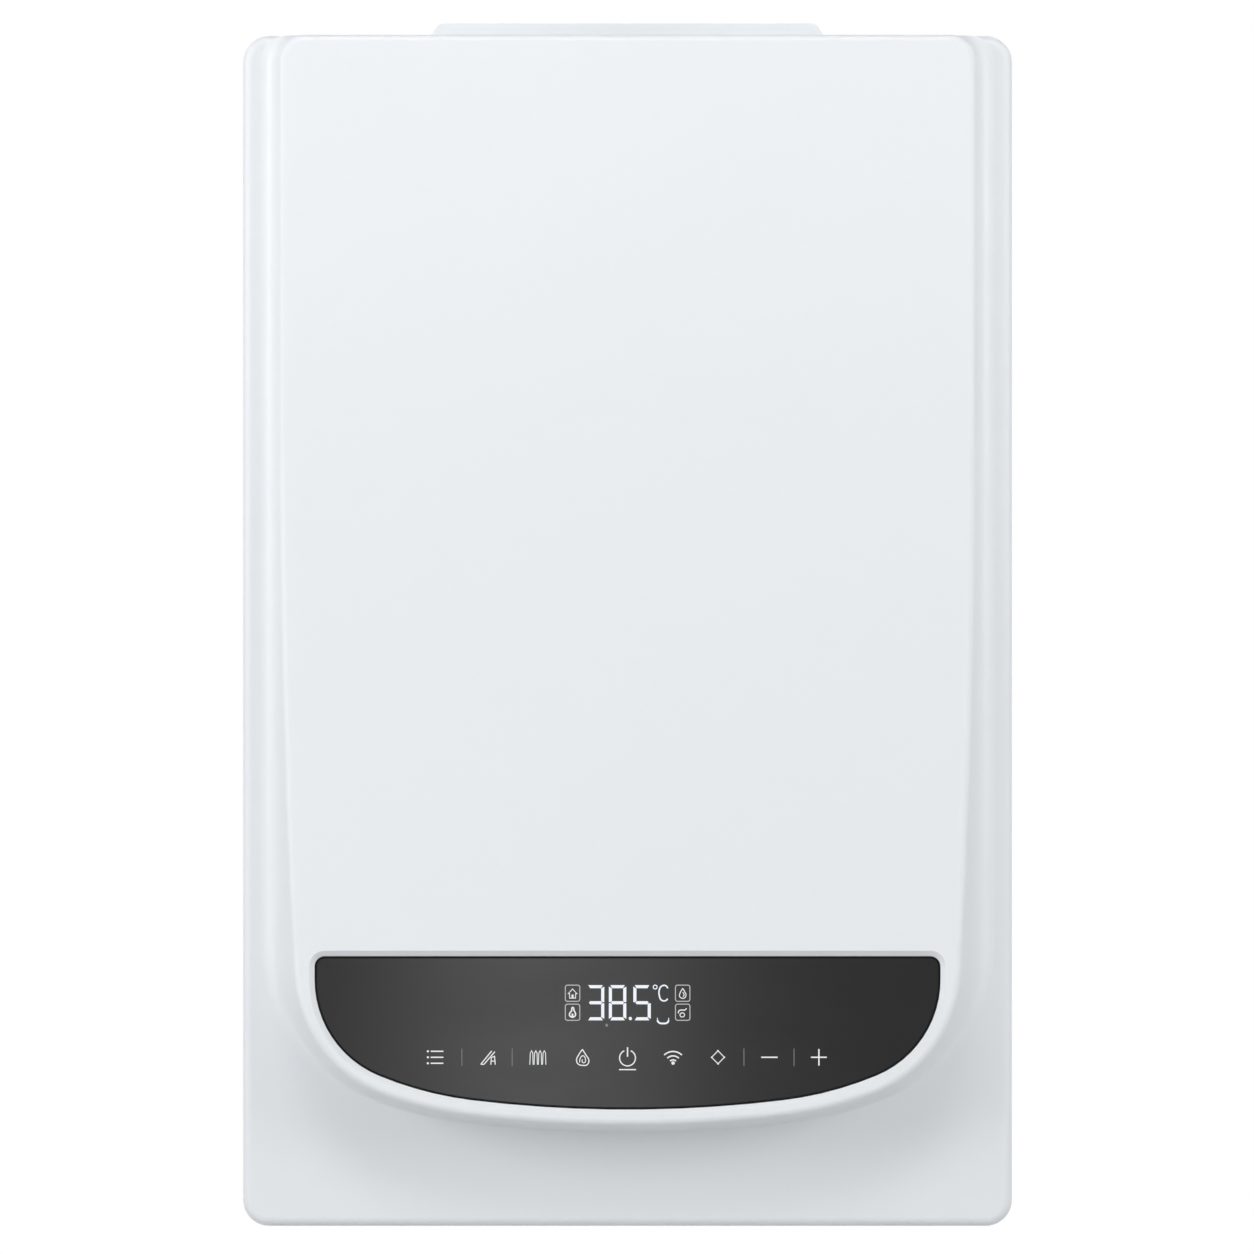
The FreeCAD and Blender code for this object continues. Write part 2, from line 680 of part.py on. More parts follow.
def make_casing():
    deep = (SEAM, BACK)
    shell = cut(
        "wrap_shell", casing_outline("wrap_outer", 0, deep), casing_outline("wrap_inner", S.sheet, deep)
    )
    front = (SEAM, SEAM + S.sheet)
    flange = cut(
        "wrap_flange",
        casing_outline("wrap_flange_outer", S.sheet / 2, front),
        box("wrap_flange_inner", (-HALF + S.flange_width, HALF - S.flange_width), (SEAM - 1, SEAM + 5),
            (BOTTOM + S.flange_width, TOP - S.flange_width)),
    )
    tab_low = BOTTOM + S.cover_wall + S.screw_slot_gap
    tabs = []
    slots = []
    for side, word in ((-1, "left"), (1, "right")):
        x = side * S.cover_screw_x
        slot_half = S.screw_shank + S.screw_slot_gap
        tabs.append(box(
            f"wrap_tab_{word}", (x - 12, x + 12), (SEAM - S.screw_tab, SEAM),
            (tab_low, tab_low + S.sheet)
        ))
        slots.append(box(
            f"wrap_slot_{word}", (x - slot_half, x + slot_half),
            (SEAM - S.screw_tab - 1, SEAM - S.screw_tab / 2), (tab_low - 1, tab_low + S.sheet + 1)
        ))
    whole = fuse("wrap_whole", shell, flange, *tabs)
    opening = box("wrap_opening", (-HALF + S.lip_width, HALF - S.lip_width), (SEAM + S.sheet, BACK + 1),
                  (BOTTOM - 1, BOTTOM + 2 * S.sheet))
    air = rod("wrap_air_hole", S.air_radius + 1, (0, FLUE_Y, TOP - 10), 20)
    holes = []
    for number, (x, z) in enumerate(catch_points()):
        holes.append(rod(
            f"wrap_catch_hole_{number}", S.catch_pin + S.catch_gap, (x, SEAM - 1, z), 10, "+y"
        ))
    screws = flue_screw_rods("wrap_flue_hole", S.small_screw + 0.1, TOP - 5, 10)
    piece("casing_wrap", cut("wrap_final", whole, opening, air, *slots, *holes, *screws))

    side = HALF - S.sheet
    plate = box("deck_plate", (-side, side), (SEAM + S.sheet, BACK), (FLOOR, DECK))
    apron_half = HALF - S.lip_width
    apron = box(
        "deck_apron", (-apron_half, apron_half), (SEAM + S.sheet, SEAM + 2 * S.sheet),
        (BOTTOM + S.sheet, FLOOR)
    )
    pipes = []
    for number, (x, radius) in enumerate(stub_row()):
        pipes.append(rod(f"deck_pipe_{number}", radius + S.hole_gap, (x, ROW, FLOOR - 5), 20))
    x, y = filling_spot()
    pipes.append(rod("deck_filling", S.knob_stem + S.hole_gap, (x, y, FLOOR - 5), 20))
    x, y = drip_spot()
    pipes.append(rod("deck_drip", S.drip_radius + S.hole_gap, (x, y, FLOOR - 5), 20))
    pipes.append(rod("deck_gland", S.gland_bore + 3, (-S.gland_x, -S.gland_depth, FLOOR - 5), 20))
    piece("bottom_panel", cut("deck_final", fuse("deck_whole", plate, apron), *pipes))

    strip = (SEAM - S.seal_thick, SEAM)
    piece("front_seal", cut(
        "seal_final",
        casing_outline("seal_outer", S.seal_inset, strip),
        box("seal_inner", (-HALF + S.seal_inset + S.seal_width, HALF - S.seal_inset - S.seal_width),
            (SEAM - S.seal_thick - 1, SEAM + 1),
            (BOTTOM + S.seal_inset + S.seal_width, TOP - S.seal_inset - S.seal_width)),
    ))

    hex_low = FLOOR - 8
    nut = hexagon("gland_nut", S.gland_radius, (-S.gland_x, -S.gland_depth, hex_low), 8)
    stem = rod("gland_stem", S.gland_bore + 3, (-S.gland_x, -S.gland_depth, FLOOR), 8)
    lock = hexagon("gland_lock", S.gland_radius, (-S.gland_x, -S.gland_depth, DECK), 4)
    dome = taper(
        "gland_dome", S.gland_bore + 1.5, S.gland_radius - 1.5,
        (-S.gland_x, -S.gland_depth, hex_low - 6), 6
    )
    bore = rod("gland_hole", S.gland_bore, (-S.gland_x, -S.gland_depth, hex_low - 10), 40)
    piece("cable_gland", cut("gland_final", fuse("gland_whole", nut, stem, lock, dome), bore))


def stub_row():
    """Middle and radius of each pipe through the bottom panel, left to right."""
    side = HALF - S.block_inset
    return [
        (-side, S.stub_radius),
        (-S.tap_x, S.tap_radius),
        (as_size(0), S.gas_radius),
        (S.tap_x, S.tap_radius),
        (side, S.stub_radius),
    ]


def connection(name, x, radius, high):
    """A threaded pipe end below the bottom panel with a plain neck up to a level."""
    low = BOTTOM + S.stub_rise
    thread = rod(name + "_thread", radius, (x, ROW, low), S.thread_length)
    neck = rod(name + "_neck", radius - S.neck_cut, (x, ROW, low), high - low)
    return fuse(name, thread, neck)


def filling_spot():
    y = ROW - S.block_width / 2 - S.filling_width / 2
    return HALF - S.block_inset - S.filling_offset, y


def drip_spot():
    return HALF - S.block_inset, ROW - S.block_width / 2 - S.relief_length / 2


# Depth of the fan's parts from the wall.
NECK_FRONT = BACK - S.neck_gap - S.neck_depth
FAN_FRONT = NECK_FRONT - S.fan_width
FLUE_Y = NECK_FRONT - S.fan_width / 2
FAN_X = S.fan_width / 2 - S.scroll_radius
FAN_Z = TOP - S.fan_drop
HOOD_TOP = FAN_Z - S.scroll_radius - S.hood_gap
HEAT_TOP = HOOD_TOP - S.hood_height
HEAT_LOW = HEAT_TOP - S.fin_height
HEAT_HALF = HALF - S.side_bay
HEAT_BACK = -S.heat_back
HEAT_FRONT = HEAT_BACK - S.heat_depth


def flue_screw_rods(name, radius, low, length):
    """Four rods on the screw circle of the flue flange."""
    step = S.flue_screw_circle * math.sqrt(0.5)
    rods = []
    for number, (right, front) in enumerate(((-1, -1), (-1, 1), (1, -1), (1, 1))):
        rods.append(rod(f"{name}_{number}", radius, (right * step, FLUE_Y + front * step, low), length))
    return rods


def make_flue():
    disc = cut("flue_ring", rod("flue_disc", S.flue_plate_radius, (0, FLUE_Y, TOP), S.flue_plate),
               rod("flue_air", S.air_radius, (0, FLUE_Y, TOP - 1), 10))
    arm = S.air_radius + 2
    half = S.spoke_width / 2
    across = box("flue_spoke_x", (-arm, arm), (FLUE_Y - half, FLUE_Y + half), (TOP, TOP + S.flue_plate))
    deep = box("flue_spoke_y", (-half, half), (FLUE_Y - arm, FLUE_Y + arm), (TOP, TOP + S.flue_plate))
    low = TOP - S.flue_drop
    tube = rod("flue_tube", S.flue_radius + S.flue_wall, (0, FLUE_Y, low), S.flue_drop + S.flue_rim)
    stop = TOP - S.collar_top + 1
    bore = rod("flue_bore", S.flue_radius, (0, FLUE_Y, stop), S.collar_top + S.flue_rim + 10)
    relief = rod("flue_relief", S.flue_radius + S.flue_wall / 2, (0, FLUE_Y, low - 5), stop - low + 5)
    drilled = flue_screw_rods("flue_screw_hole", S.small_screw + 0.1, TOP - 5, 20)
    piece(
        "flue_flange",
        cut("flue_final", fuse("flue_whole", disc, across, deep, tube), bore, relief, *drilled)
    )

    head = TOP + S.flue_plate
    shanks = flue_screw_rods("flue_shank", S.small_screw, TOP - 4, head - TOP + 4)
    heads = flue_screw_rods("flue_head", S.small_head, head, S.head_height)
    return [fuse(f"flue_screw_{i}", shank, cap) for i, (shank, cap) in enumerate(zip(shanks, heads))]


def rectangle_wire(x, y, z):
    """A rectangle at one height, as a closed wire."""
    low_x, high_x = value(x[0]), value(x[1])
    low_y, high_y = value(y[0]), value(y[1])
    level = value(z)
    spots = [(low_x, low_y), (high_x, low_y), (high_x, high_y), (low_x, high_y), (low_x, low_y)]
    return Part.makePolygon([Vector(spot[0], spot[1], level) for spot in spots])


def hood_form(name, inset, low):
    """The hood's funnel and neck, pulled in by a wall."""
    foot = shaped(name + "_foot", rectangle_wire((-HEAT_HALF + inset, HEAT_HALF - inset),
                                                 (HEAT_FRONT + inset, HEAT_BACK - inset), low))
    neck_x = (FAN_X - S.neck_half + inset, FAN_X + S.neck_half - inset)
    neck_y = (NECK_FRONT + inset, BACK - S.neck_gap - inset)
    crown = shaped(name + "_crown", rectangle_wire(neck_x, neck_y, HOOD_TOP))
    funnel = DOC.addObject("Part::Loft", name + "_funnel")
    funnel.Sections = [foot, crown]
    funnel.Solid = True
    funnel.Ruled = True
    neck = box(name + "_neck", neck_x, neck_y, (HOOD_TOP, FAN_Z + S.inlet_radius + 8 - inset))
    return fuse(name + "_form", funnel, neck)


def make_fan():
    shell = hood_form("hood_outer", as_size(0), HEAT_TOP)
    space = hood_form("hood_inner", S.fan_wall, HEAT_TOP - 0.01)
    mouth = rod("hood_mouth", S.inlet_radius, (FAN_X, NECK_FRONT - 1, FAN_Z), 10, "+y")
    piece("flue_hood", cut("hood_final", shell, space, mouth))

    wall = S.fan_wall
    duct_half = S.fan_width / 2
    duct_top = TOP - S.collar_top - S.collar_height
    scroll = rod("fan_scroll", S.scroll_radius, (FAN_X, NECK_FRONT, FAN_Z), S.fan_width, "-y")
    duct = box("fan_duct", (-duct_half, duct_half), (FAN_FRONT, NECK_FRONT), (FAN_Z, duct_top))
    collar_radius = S.flue_radius + S.flue_wall / 2 - S.collar_gap
    collar = rod("fan_collar", collar_radius, (0, FLUE_Y, duct_top - 2), S.collar_height + 2)
    nipple = rod("fan_nipple", S.nipple_radius, (FAN_X - S.scroll_radius + 1, FLUE_Y, FAN_Z), 11, "-x")
    hollow = rod(
        "fan_hollow", S.scroll_radius - wall, (FAN_X, NECK_FRONT - wall, FAN_Z), S.fan_width - 2 * wall,
        "-y"
    )
    channel = box(
        "fan_channel", (-duct_half + wall, duct_half - wall), (FAN_FRONT + wall, NECK_FRONT - wall),
        (FAN_Z, duct_top - wall)
    )
    outlet = rod("fan_outlet", collar_radius - wall, (0, FLUE_Y, duct_top - 10), S.collar_height + 20)
    inlet = rod("fan_inlet", S.inlet_radius, (FAN_X, NECK_FRONT + 1, FAN_Z), 5, "-y")
    shaft_hole = rod("fan_shaft_hole", S.shaft_radius + 4, (FAN_X, FAN_FRONT - 2, FAN_Z), 5, "+y")
    piece("fan_housing", cut(
        "fan_final", fuse("fan_whole", scroll, duct, collar, nipple), hollow, channel, outlet, inlet,
        shaft_hole
    ))

    rear = FAN_FRONT - S.motor_post
    front = rear - S.stator_depth
    half_x = S.stator_width / 2
    half_z = S.stator_height / 2
    stack = box(
        "motor_stack", (FAN_X - half_x, FAN_X + half_x), (front, rear), (FAN_Z - half_z, FAN_Z + half_z)
    )
    posts = []
    for number, (right, up) in enumerate(((-1, -1), (-1, 1), (1, -1), (1, 1))):
        spot = (FAN_X + right * (half_x - 7), FAN_FRONT, FAN_Z + up * (half_z - 7))
        posts.append(rod(f"motor_post_{number}", 4, spot, S.motor_post, "-y"))
    bridge = rod("motor_bearing", S.shaft_radius + 5, (FAN_X, front, FAN_Z), 6, "-y")
    bore = rod(
        "motor_bore", S.shaft_radius + S.bearing_gap, (FAN_X, front - 20, FAN_Z), S.stator_depth + 40,
        "+y"
    )
    coil_z = FAN_Z - half_z + S.coil_radius - 4
    coil_seat = rod(
        "motor_coil_seat", S.coil_radius, (FAN_X - S.coil_length / 2, front, coil_z), S.coil_length, "+x"
    )
    frame = cut("motor_frame", fuse("motor_whole", stack, *posts, bridge), bore, coil_seat)
    coil = rod("coil_body", S.coil_radius, (FAN_X - S.coil_length / 2, front, coil_z), S.coil_length, "+x")
    piece("fan_motor", group("motor_group", frame, coil))

    shaft_start = NECK_FRONT - S.fan_wall - 10
    shaft_length = shaft_start - front + 12
    shaft = rod("fan_shaft_rod", S.shaft_radius, (FAN_X, shaft_start, FAN_Z), shaft_length, "-y")
    piece("fan_impeller", group("fan_rotor_group", make_fan_wheel(), shaft))

    x = -HALF + S.switch_inset
    z = FAN_Z - S.switch_radius / 2
    bracket_front = BACK - 8
    bracket = box("switch_bracket", (x - 14, x + 14), (bracket_front, BACK), (z - 20, z + 20))
    disc = rod("switch_disc", S.switch_radius, (x, bracket_front, z), S.switch_depth, "-y")
    cap = rod("switch_cap", S.switch_radius - 8, (x, bracket_front - S.switch_depth, z), 6, "-y")
    port = rod("switch_port", S.nipple_radius, (x, bracket_front - S.switch_depth, FAN_Z), 12, "-y")
    piece("air_pressure_switch", fuse("switch_final", bracket, disc, cap, port))
    tube_path = [
        (x, bracket_front - S.switch_depth - 8, FAN_Z),
        (x, FLUE_Y, FAN_Z),
        (FAN_X - S.scroll_radius - 1, FLUE_Y, FAN_Z),
    ]
    tube = bent_tube(tube_path, S.tube_radius, S.tube_bend, S.tube_radius - S.nipple_radius)
    piece("pressure_tube", shaped("pressure_tube_shape", tube))


def make_fan_wheel():
    """The fan wheel: a back plate, a hub and a ring of blades, on its own Z axis."""
    body = DOC.addObject("PartDesign::Body", "fan_wheel_body")
    plate = sketch_on(body, "XY_Plane", "fan_wheel_plate")
    draw_circle(plate, S.wheel_radius)
    draw_circle(plate, S.shaft_radius)
    pad(body, plate, "fan_wheel_disc", S.wheel_plate)
    hub = sketch_on(body, "XY_Plane", "fan_wheel_hub")
    draw_circle(hub, S.fan_hub)
    draw_circle(hub, S.shaft_radius)
    pad(body, hub, "fan_wheel_boss", S.wheel_plate + 18)
    blade = sketch_on(body, "XY_Plane", "fan_wheel_blade")
    half = S.blade_thick / 2
    outer = S.wheel_radius - 1
    inner = outer - S.blade_depth
    draw_outline(blade, [(inner, -half), (outer, -half), (outer, half), (inner, half)])
    blades = pad(body, blade, "fan_wheel_vane", S.wheel_plate + S.blade_length)
    turned_copies(body, blades, "fan_wheel_vanes", BLADE_COUNT)
    place(body, (FAN_X, FAN_FRONT + S.fan_wall + S.wheel_gap, FAN_Z), "+y")
    return body


# Levels of the burner, counted up from the bottom panel.
VALVE_LOW = DECK + S.valve_lift
VALVE_TOP = VALVE_LOW + S.valve_height
FEED_Z = VALVE_TOP + S.feed_rise
MANIFOLD_Z = FEED_Z + S.feed_climb
BURNER_LOW = MANIFOLD_Z - S.manifold_rise
BURNER_TOP = BURNER_LOW + S.burner_height
MANIFOLD_Y = HEAT_FRONT - S.manifold_reach
ELECTRODE_Z = BURNER_TOP + S.electrode_rise


def frame_tube(name, low, high):
    """Four sheet walls round the heat stack between two levels."""
    wall = S.heat_wall
    outer = box(name + "_outer", (-HEAT_HALF, HEAT_HALF), (HEAT_FRONT, HEAT_BACK), (low, high))
    inner = box(
        name + "_inner", (-HEAT_HALF + wall, HEAT_HALF - wall), (HEAT_FRONT + wall, HEAT_BACK - wall),
        (low - 1, high + 1)
    )
    return cut(name + "_walls", outer, inner)


def tube_rows():
    """Depth of each exchanger tube, back to front."""
    middle = (HEAT_BACK + HEAT_FRONT) / 2
    first = (TUBE_COUNT - 1) / 2
    return [middle + (first - number) * S.tube_pitch for number in range(TUBE_COUNT)]


def make_exchanger():
    z = (HEAT_TOP + HEAT_LOW) / 2
    reach = HEAT_HALF + S.tube_reach
    holes = []
    for number, y in enumerate(tube_rows()):
        holes.append(rod(f"exchanger_hole_{number}", S.heat_tube, (-reach - 5, y, z), 2 * reach + 10, "+x"))
    holes_group = fuse("exchanger_holes", *holes)
    piece(
        "exchanger_frame",
        cut("exchanger_frame_final", frame_tube("exchanger", HEAT_LOW, HEAT_TOP), holes_group)
    )

    room = HEAT_HALF - S.heat_wall - 4
    pitch = 2 * room / (FIN_COUNT - 1)
    near = S.heat_wall
    fins = []
    for number in range(FIN_COUNT):
        x = -room + number * pitch
        fins.append(box(
            f"fin_{number}", (x - S.fin_thick / 2, x + S.fin_thick / 2),
            (HEAT_FRONT + near, HEAT_BACK - near), (HEAT_LOW + S.fin_margin, HEAT_TOP - S.fin_margin)
        ))
    piece("exchanger_fins", cut("fins_final", group("fins_group", *fins), holes_group))

    rows = tube_rows()
    bend = value(S.tube_pitch) / 2
    points = [(reach, rows[0], z)]
    for number in range(TUBE_COUNT - 1):
        turn = (reach + bend) * (-1 if number % 2 == 0 else 1)
        points.append((turn, rows[number], z))
        points.append((turn, rows[number + 1], z))
    points.append((-reach, rows[-1], z))
    tubes = serpentine(points, bend)
    piece("exchanger_tubes", shaped("exchanger_tubes_shape", tubes))


def serpentine(points, bend):
    """The exchanger's tube: straight runs joined by half-round bends."""
    spots = [Vector(*(value(number) for number in point)) for point in points]
    edges = []
    start = spots[0]
    for first, second in zip(spots[1:-1:2], spots[2:-1:2]):
        side = Vector(math.copysign(bend, first.x), 0, 0)
        edges.append(Part.makeLine(start, first - side))
        edges.append(Part.Arc(first - side, (first + second) / 2, second - side).toShape())
        start = second - side
    edges.append(Part.makeLine(start, spots[-1]))
    path = Part.Wire(edges)
    outer = swept(path, S.heat_tube.value)
    return outer.cut(swept(path, S.heat_tube.value - S.tube_wall.value))


def make_chamber(flue_screws):
    low, high = BURNER_TOP, HEAT_LOW
    margin = S.window_margin
    walls = frame_tube("chamber", low, high)
    window = box(
        "chamber_window", (-HEAT_HALF + margin, HEAT_HALF - margin), (HEAT_FRONT - 1, HEAT_FRONT + 5),
        (low + 2, high - margin)
    )
    screw_spots = chamber_screw_spots()
    drills = []
    for number, (x, z) in enumerate(screw_spots):
        drills.append(rod(f"chamber_drill_{number}", S.small_screw + 0.1, (x, HEAT_FRONT - 5, z), 10, "+y"))
    drill_group = fuse("chamber_drills", *drills)
    piece("combustion_chamber", cut("chamber_final", walls, window, drill_group))

    front = (HEAT_FRONT - S.heat_wall, HEAT_FRONT)
    plate = box("front_plate", (-HEAT_HALF, HEAT_HALF), front, (low, high))
    middle = (low + high) / 2
    holes = [rod("front_sight_hole", S.sight_radius, (0, HEAT_FRONT - 10, middle), 60, "+y")]
    for side, word in ((-1, "left"), (1, "right")):
        spot = (side * S.electrode_x, HEAT_FRONT - 30, ELECTRODE_Z)
        holes.append(rod(f"front_electrode_{word}", S.ceramic_radius + 0.05, spot, 60, "+y"))
    hole_group = fuse("front_holes", *holes)
    piece("chamber_front", cut("front_plate_final", plate, hole_group, drill_group))

    wall = S.heat_wall
    thick = S.board_wall
    side = HEAT_HALF - wall
    deep = (HEAT_FRONT + wall, HEAT_BACK - wall)
    left = box("board_left", (-side, -side + thick), deep, (low, high))
    right = box("board_right", (side - thick, side), deep, (low, high))
    rear = box("board_rear", (-side + thick, side - thick), (deep[1] - thick, deep[1]), (low, high))
    fore = cut(
        "board_fore",
        box("board_fore_raw", (-side + thick, side - thick), (deep[0], deep[0] + thick), (low, high)),
        hole_group
    )
    piece("chamber_insulation", group("insulation_group", left, right, rear, fore))

    sight_y = HEAT_FRONT - S.heat_wall
    piece(
        "sight_glass",
        rod("sight_disc", S.sight_radius + S.sight_rim, (0, sight_y, middle), S.sight_thick, "-y")
    )

    screws = flue_screws
    for number, (x, z) in enumerate(screw_spots):
        shank = rod(f"chamber_shank_{number}", S.small_screw, (x, HEAT_FRONT + wall, z), 2 * wall, "-y")
        head = rod(f"chamber_head_{number}", S.small_head, (x, sight_y, z), S.head_height, "-y")
        screws.append(fuse(f"chamber_screw_{number}", shank, head))
    piece("sheet_screws", group("screws_group", *screws))

    brackets = vessel_straps()
    for word, z in (("high", high - 30), ("low", low + 20)):
        brackets.append(box(
            f"bracket_{word}", (-HEAT_HALF + 20, HEAT_HALF - 20), (HEAT_BACK, BACK), (z, z + 16)
        ))
    piece("mounting_brackets", group("brackets_group", *brackets))


def chamber_screw_spots():
    """Screws round the edge of the chamber's front."""
    x = HEAT_HALF - S.window_margin / 2
    top = HEAT_LOW - S.window_margin / 2
    low = BURNER_TOP + 12
    spots = [(side * x, z) for side in (-1, 1) for z in (low, (low + top) / 2, top)]
    return spots + [(as_size(0), top)]


def bar_middles():
    """Middle of each burner bar, left to right."""
    room = HEAT_HALF - S.heat_wall - S.bar_width / 2 - 3
    return [-room + number * (2 * room / (BAR_COUNT - 1)) for number in range(BAR_COUNT)]


def make_burner():
    wall = S.heat_wall
    deep = (HEAT_FRONT + wall, HEAT_BACK - wall)
    tips = []
    bars = []
    mouths = []
    nozzles = []
    for number, x in enumerate(bar_middles()):
        bars.append(box(f"bar_{number}", (x - S.bar_width / 2, x + S.bar_width / 2), deep,
                        (BURNER_TOP - S.bar_height, BURNER_TOP - 1)))
        mouths.append(rod(
            f"mouth_{number}", S.mouth_radius, (x, HEAT_FRONT - 2, MANIFOLD_Z), S.mouth_depth + 2, "+y"
        ))
        nozzles.append(rod(
            f"nozzle_{number}", S.injector_radius, (x, MANIFOLD_Y, MANIFOLD_Z), S.manifold_reach + wall,
            "+y"
        ))
        collar_y = MANIFOLD_Y + S.manifold_radius
        collar = hexagon(
            f"nozzle_collar_{number}", S.injector_radius + 2, (x, collar_y, MANIFOLD_Z), 4, "+y"
        )
        jet = rod(f"nozzle_jet_{number}", 0.6, (x, MANIFOLD_Y - 1, MANIFOLD_Z), 60, "+y")
        tips.append(cut(f"injector_{number}", fuse(f"nozzle_whole_{number}", nozzles[-1], collar), jet))
    slots = []
    step = (S.heat_depth - 2 * wall - 16) / (SLOT_COUNT - 1)
    for number in range(SLOT_COUNT):
        y = HEAT_FRONT + wall + 8 + number * step
        slots.append(box(
            f"bar_slot_{number}", (-HEAT_HALF, HEAT_HALF), (y - S.slot_width / 2, y + S.slot_width / 2),
            (BURNER_TOP - 1 - S.slot_depth, BURNER_TOP + 1)
        ))
    mouth_group = fuse("mouths", *mouths)
    piece("burner_bars", cut("bars_final", group("bars_group", *bars), mouth_group, *slots))

    frame = frame_tube("burner", BURNER_LOW, BURNER_TOP)
    ledges = []
    for word, y in (("front", (deep[0], deep[0] + 8)), ("rear", (deep[1] - 8, deep[1]))):
        ledges.append(box(f"burner_ledge_{word}", (-HEAT_HALF + wall, HEAT_HALF - wall), y,
                          (BURNER_TOP - S.bar_height - wall, BURNER_TOP - S.bar_height)))
    piece(
        "burner_frame",
        cut("burner_frame_final", fuse("burner_frame_whole", frame, *ledges), mouth_group)
    )

    length = HEAT_HALF - 4
    tube = rod("manifold_tube", S.manifold_radius, (-length, MANIFOLD_Y, MANIFOLD_Z), 2 * length, "+x")
    feet = []
    middles = bar_middles()
    for word, x in (("left", (middles[0] + middles[1]) / 2), ("right", (middles[-1] + middles[-2]) / 2)):
        feet.append(box(f"manifold_foot_{word}", (x - 2.5, x + 2.5), (MANIFOLD_Y, HEAT_FRONT),
                        (MANIFOLD_Z - 6, MANIFOLD_Z + 6)))
    reach = length - S.tube_wall
    hollow = rod(
        "manifold_hollow", S.manifold_radius - 2, (-reach, MANIFOLD_Y, MANIFOLD_Z), 2 * reach, "+x"
    )
    entry = rod("manifold_entry", S.feed_radius, (0, MANIFOLD_Y, FEED_Z), MANIFOLD_Z - FEED_Z)
    piece("gas_manifold", cut(
        "manifold_final", fuse("manifold_whole", tube, *feet), hollow, entry,
        fuse("nozzle_seats", *nozzles)
    ))
    ends = []
    for number, x in enumerate(middles):
        spot = (x, MANIFOLD_Y - S.manifold_radius, MANIFOLD_Z)
        ends.append(rod(f"injector_room_{number}", S.manifold_radius - 2, spot, S.manifold_radius, "+y"))
    piece(
        "gas_injectors",
        cut("injectors_final", group("injectors_group", *tips), fuse("injector_rooms", *ends))
    )

    feed_path = [
        (0, ROW, VALVE_TOP),
        (0, ROW, FEED_Z),
        (0, MANIFOLD_Y, FEED_Z),
        (0, MANIFOLD_Y, MANIFOLD_Z - S.manifold_radius + 2),
    ]
    piece(
        "gas_feed_pipe",
        shaped("gas_feed_shape", bent_tube(feed_path, S.feed_radius, S.feed_bend, S.tube_wall))
    )

    tail = HEAT_FRONT - S.heat_wall - S.ceramic_tail
    ceramics = []
    pins = []
    for side, word in ((-1, "left"), (1, "right")):
        x = side * S.electrode_x
        length = S.ceramic_tail + 2 * wall + S.board_wall + S.ceramic_tip
        outer = rod(f"ceramic_{word}", S.ceramic_radius, (x, tail, ELECTRODE_Z), length, "+y")
        stop = rod(
            f"ceramic_stop_{word}", S.ceramic_radius + S.ceramic_lip,
            (x, HEAT_FRONT - S.heat_wall, ELECTRODE_Z), S.ceramic_collar, "-y"
        )
        core = rod(f"ceramic_core_{word}", S.pin_radius, (x, tail - 1, ELECTRODE_Z), length + 2, "+y")
        ceramics.append(cut(f"insulator_{word}", fuse(f"ceramic_whole_{word}", outer, stop), core))
        spot = (x, tail - S.pin_tail, ELECTRODE_Z)
        pins.append(rod(f"pin_{word}", S.pin_radius, spot, S.pin_tail + length + S.pin_reach, "+y"))
    piece("electrodes", group("electrodes_group", *ceramics, *pins))

    left = -HALF + S.sheet + 6
    box_z = ELECTRODE_Z - S.igniter_height / 2
    case = box(
        "igniter_case", (left, left + S.igniter_width), (BACK - S.igniter_depth, BACK),
        (box_z, box_z + S.igniter_height)
    )
    x = left + S.igniter_width / 2
    socket = rod("igniter_socket", 6, (x, BACK - S.igniter_depth, ELECTRODE_Z), 10, "-y")
    piece(
        "igniter",
        fuse("igniter_final", rounded("igniter_round", case, 3, lambda edge: along(edge, "z")), socket)
    )
    run = tail - 20
    lead_path = [
        (x, BACK - S.igniter_depth - 10, ELECTRODE_Z),
        (x, run, ELECTRODE_Z),
        (-S.electrode_x, run, ELECTRODE_Z),
        (-S.electrode_x, tail - S.pin_tail, ELECTRODE_Z),
    ]
    piece("ignition_lead", shaped("ignition_lead_shape", bent_tube(lead_path, S.lead_radius, 12)))


def make_gas():
    half_x = S.valve_width / 2
    half_y = S.valve_depth / 2
    block = box("valve_block", (-half_x, half_x), (ROW - half_y, ROW + half_y), (VALVE_LOW, VALVE_TOP))
    soft = rounded("valve_round", block, 6, lambda edge: along(edge, "z"))
    bore = rod("valve_bore", S.gas_bore, (0, ROW, VALVE_LOW - 1), 24)
    out = rod("valve_out", S.feed_radius - S.tube_wall, (0, ROW, VALVE_TOP - 20), 30)
    body = cut("valve_body", soft, bore, out)
    coils = []
    front = ROW - half_y
    z = (VALVE_LOW + VALVE_TOP) / 2
    for side, word in ((-1, "left"), (1, "right")):
        x = side * (S.gas_coil + 2)
        drum = rod(f"coil_drum_{word}", S.gas_coil, (x, front, z), S.gas_coil_length, "-y")
        cap = rod(f"coil_cap_{word}", S.gas_coil - 5, (x, front - S.gas_coil_length, z), 5, "-y")
        coils.append(fuse(f"gas_coil_{word}", drum, cap))
    piece("gas_valve", group("gas_valve_group", body, *coils))
    low = BOTTOM + S.stub_rise
    stub = connection("gas_stub", 0, S.gas_radius, VALVE_LOW)
    nut = hexagon("gas_nut", S.gas_radius + 5, (0, ROW, DECK), 9)
    hole = rod("gas_hole", S.gas_bore, (0, ROW, low - 1), S.recess_height + S.valve_lift + 10)
    piece("gas_inlet_pipe", cut("gas_inlet_final", fuse("gas_inlet_whole", stub, nut), hole))


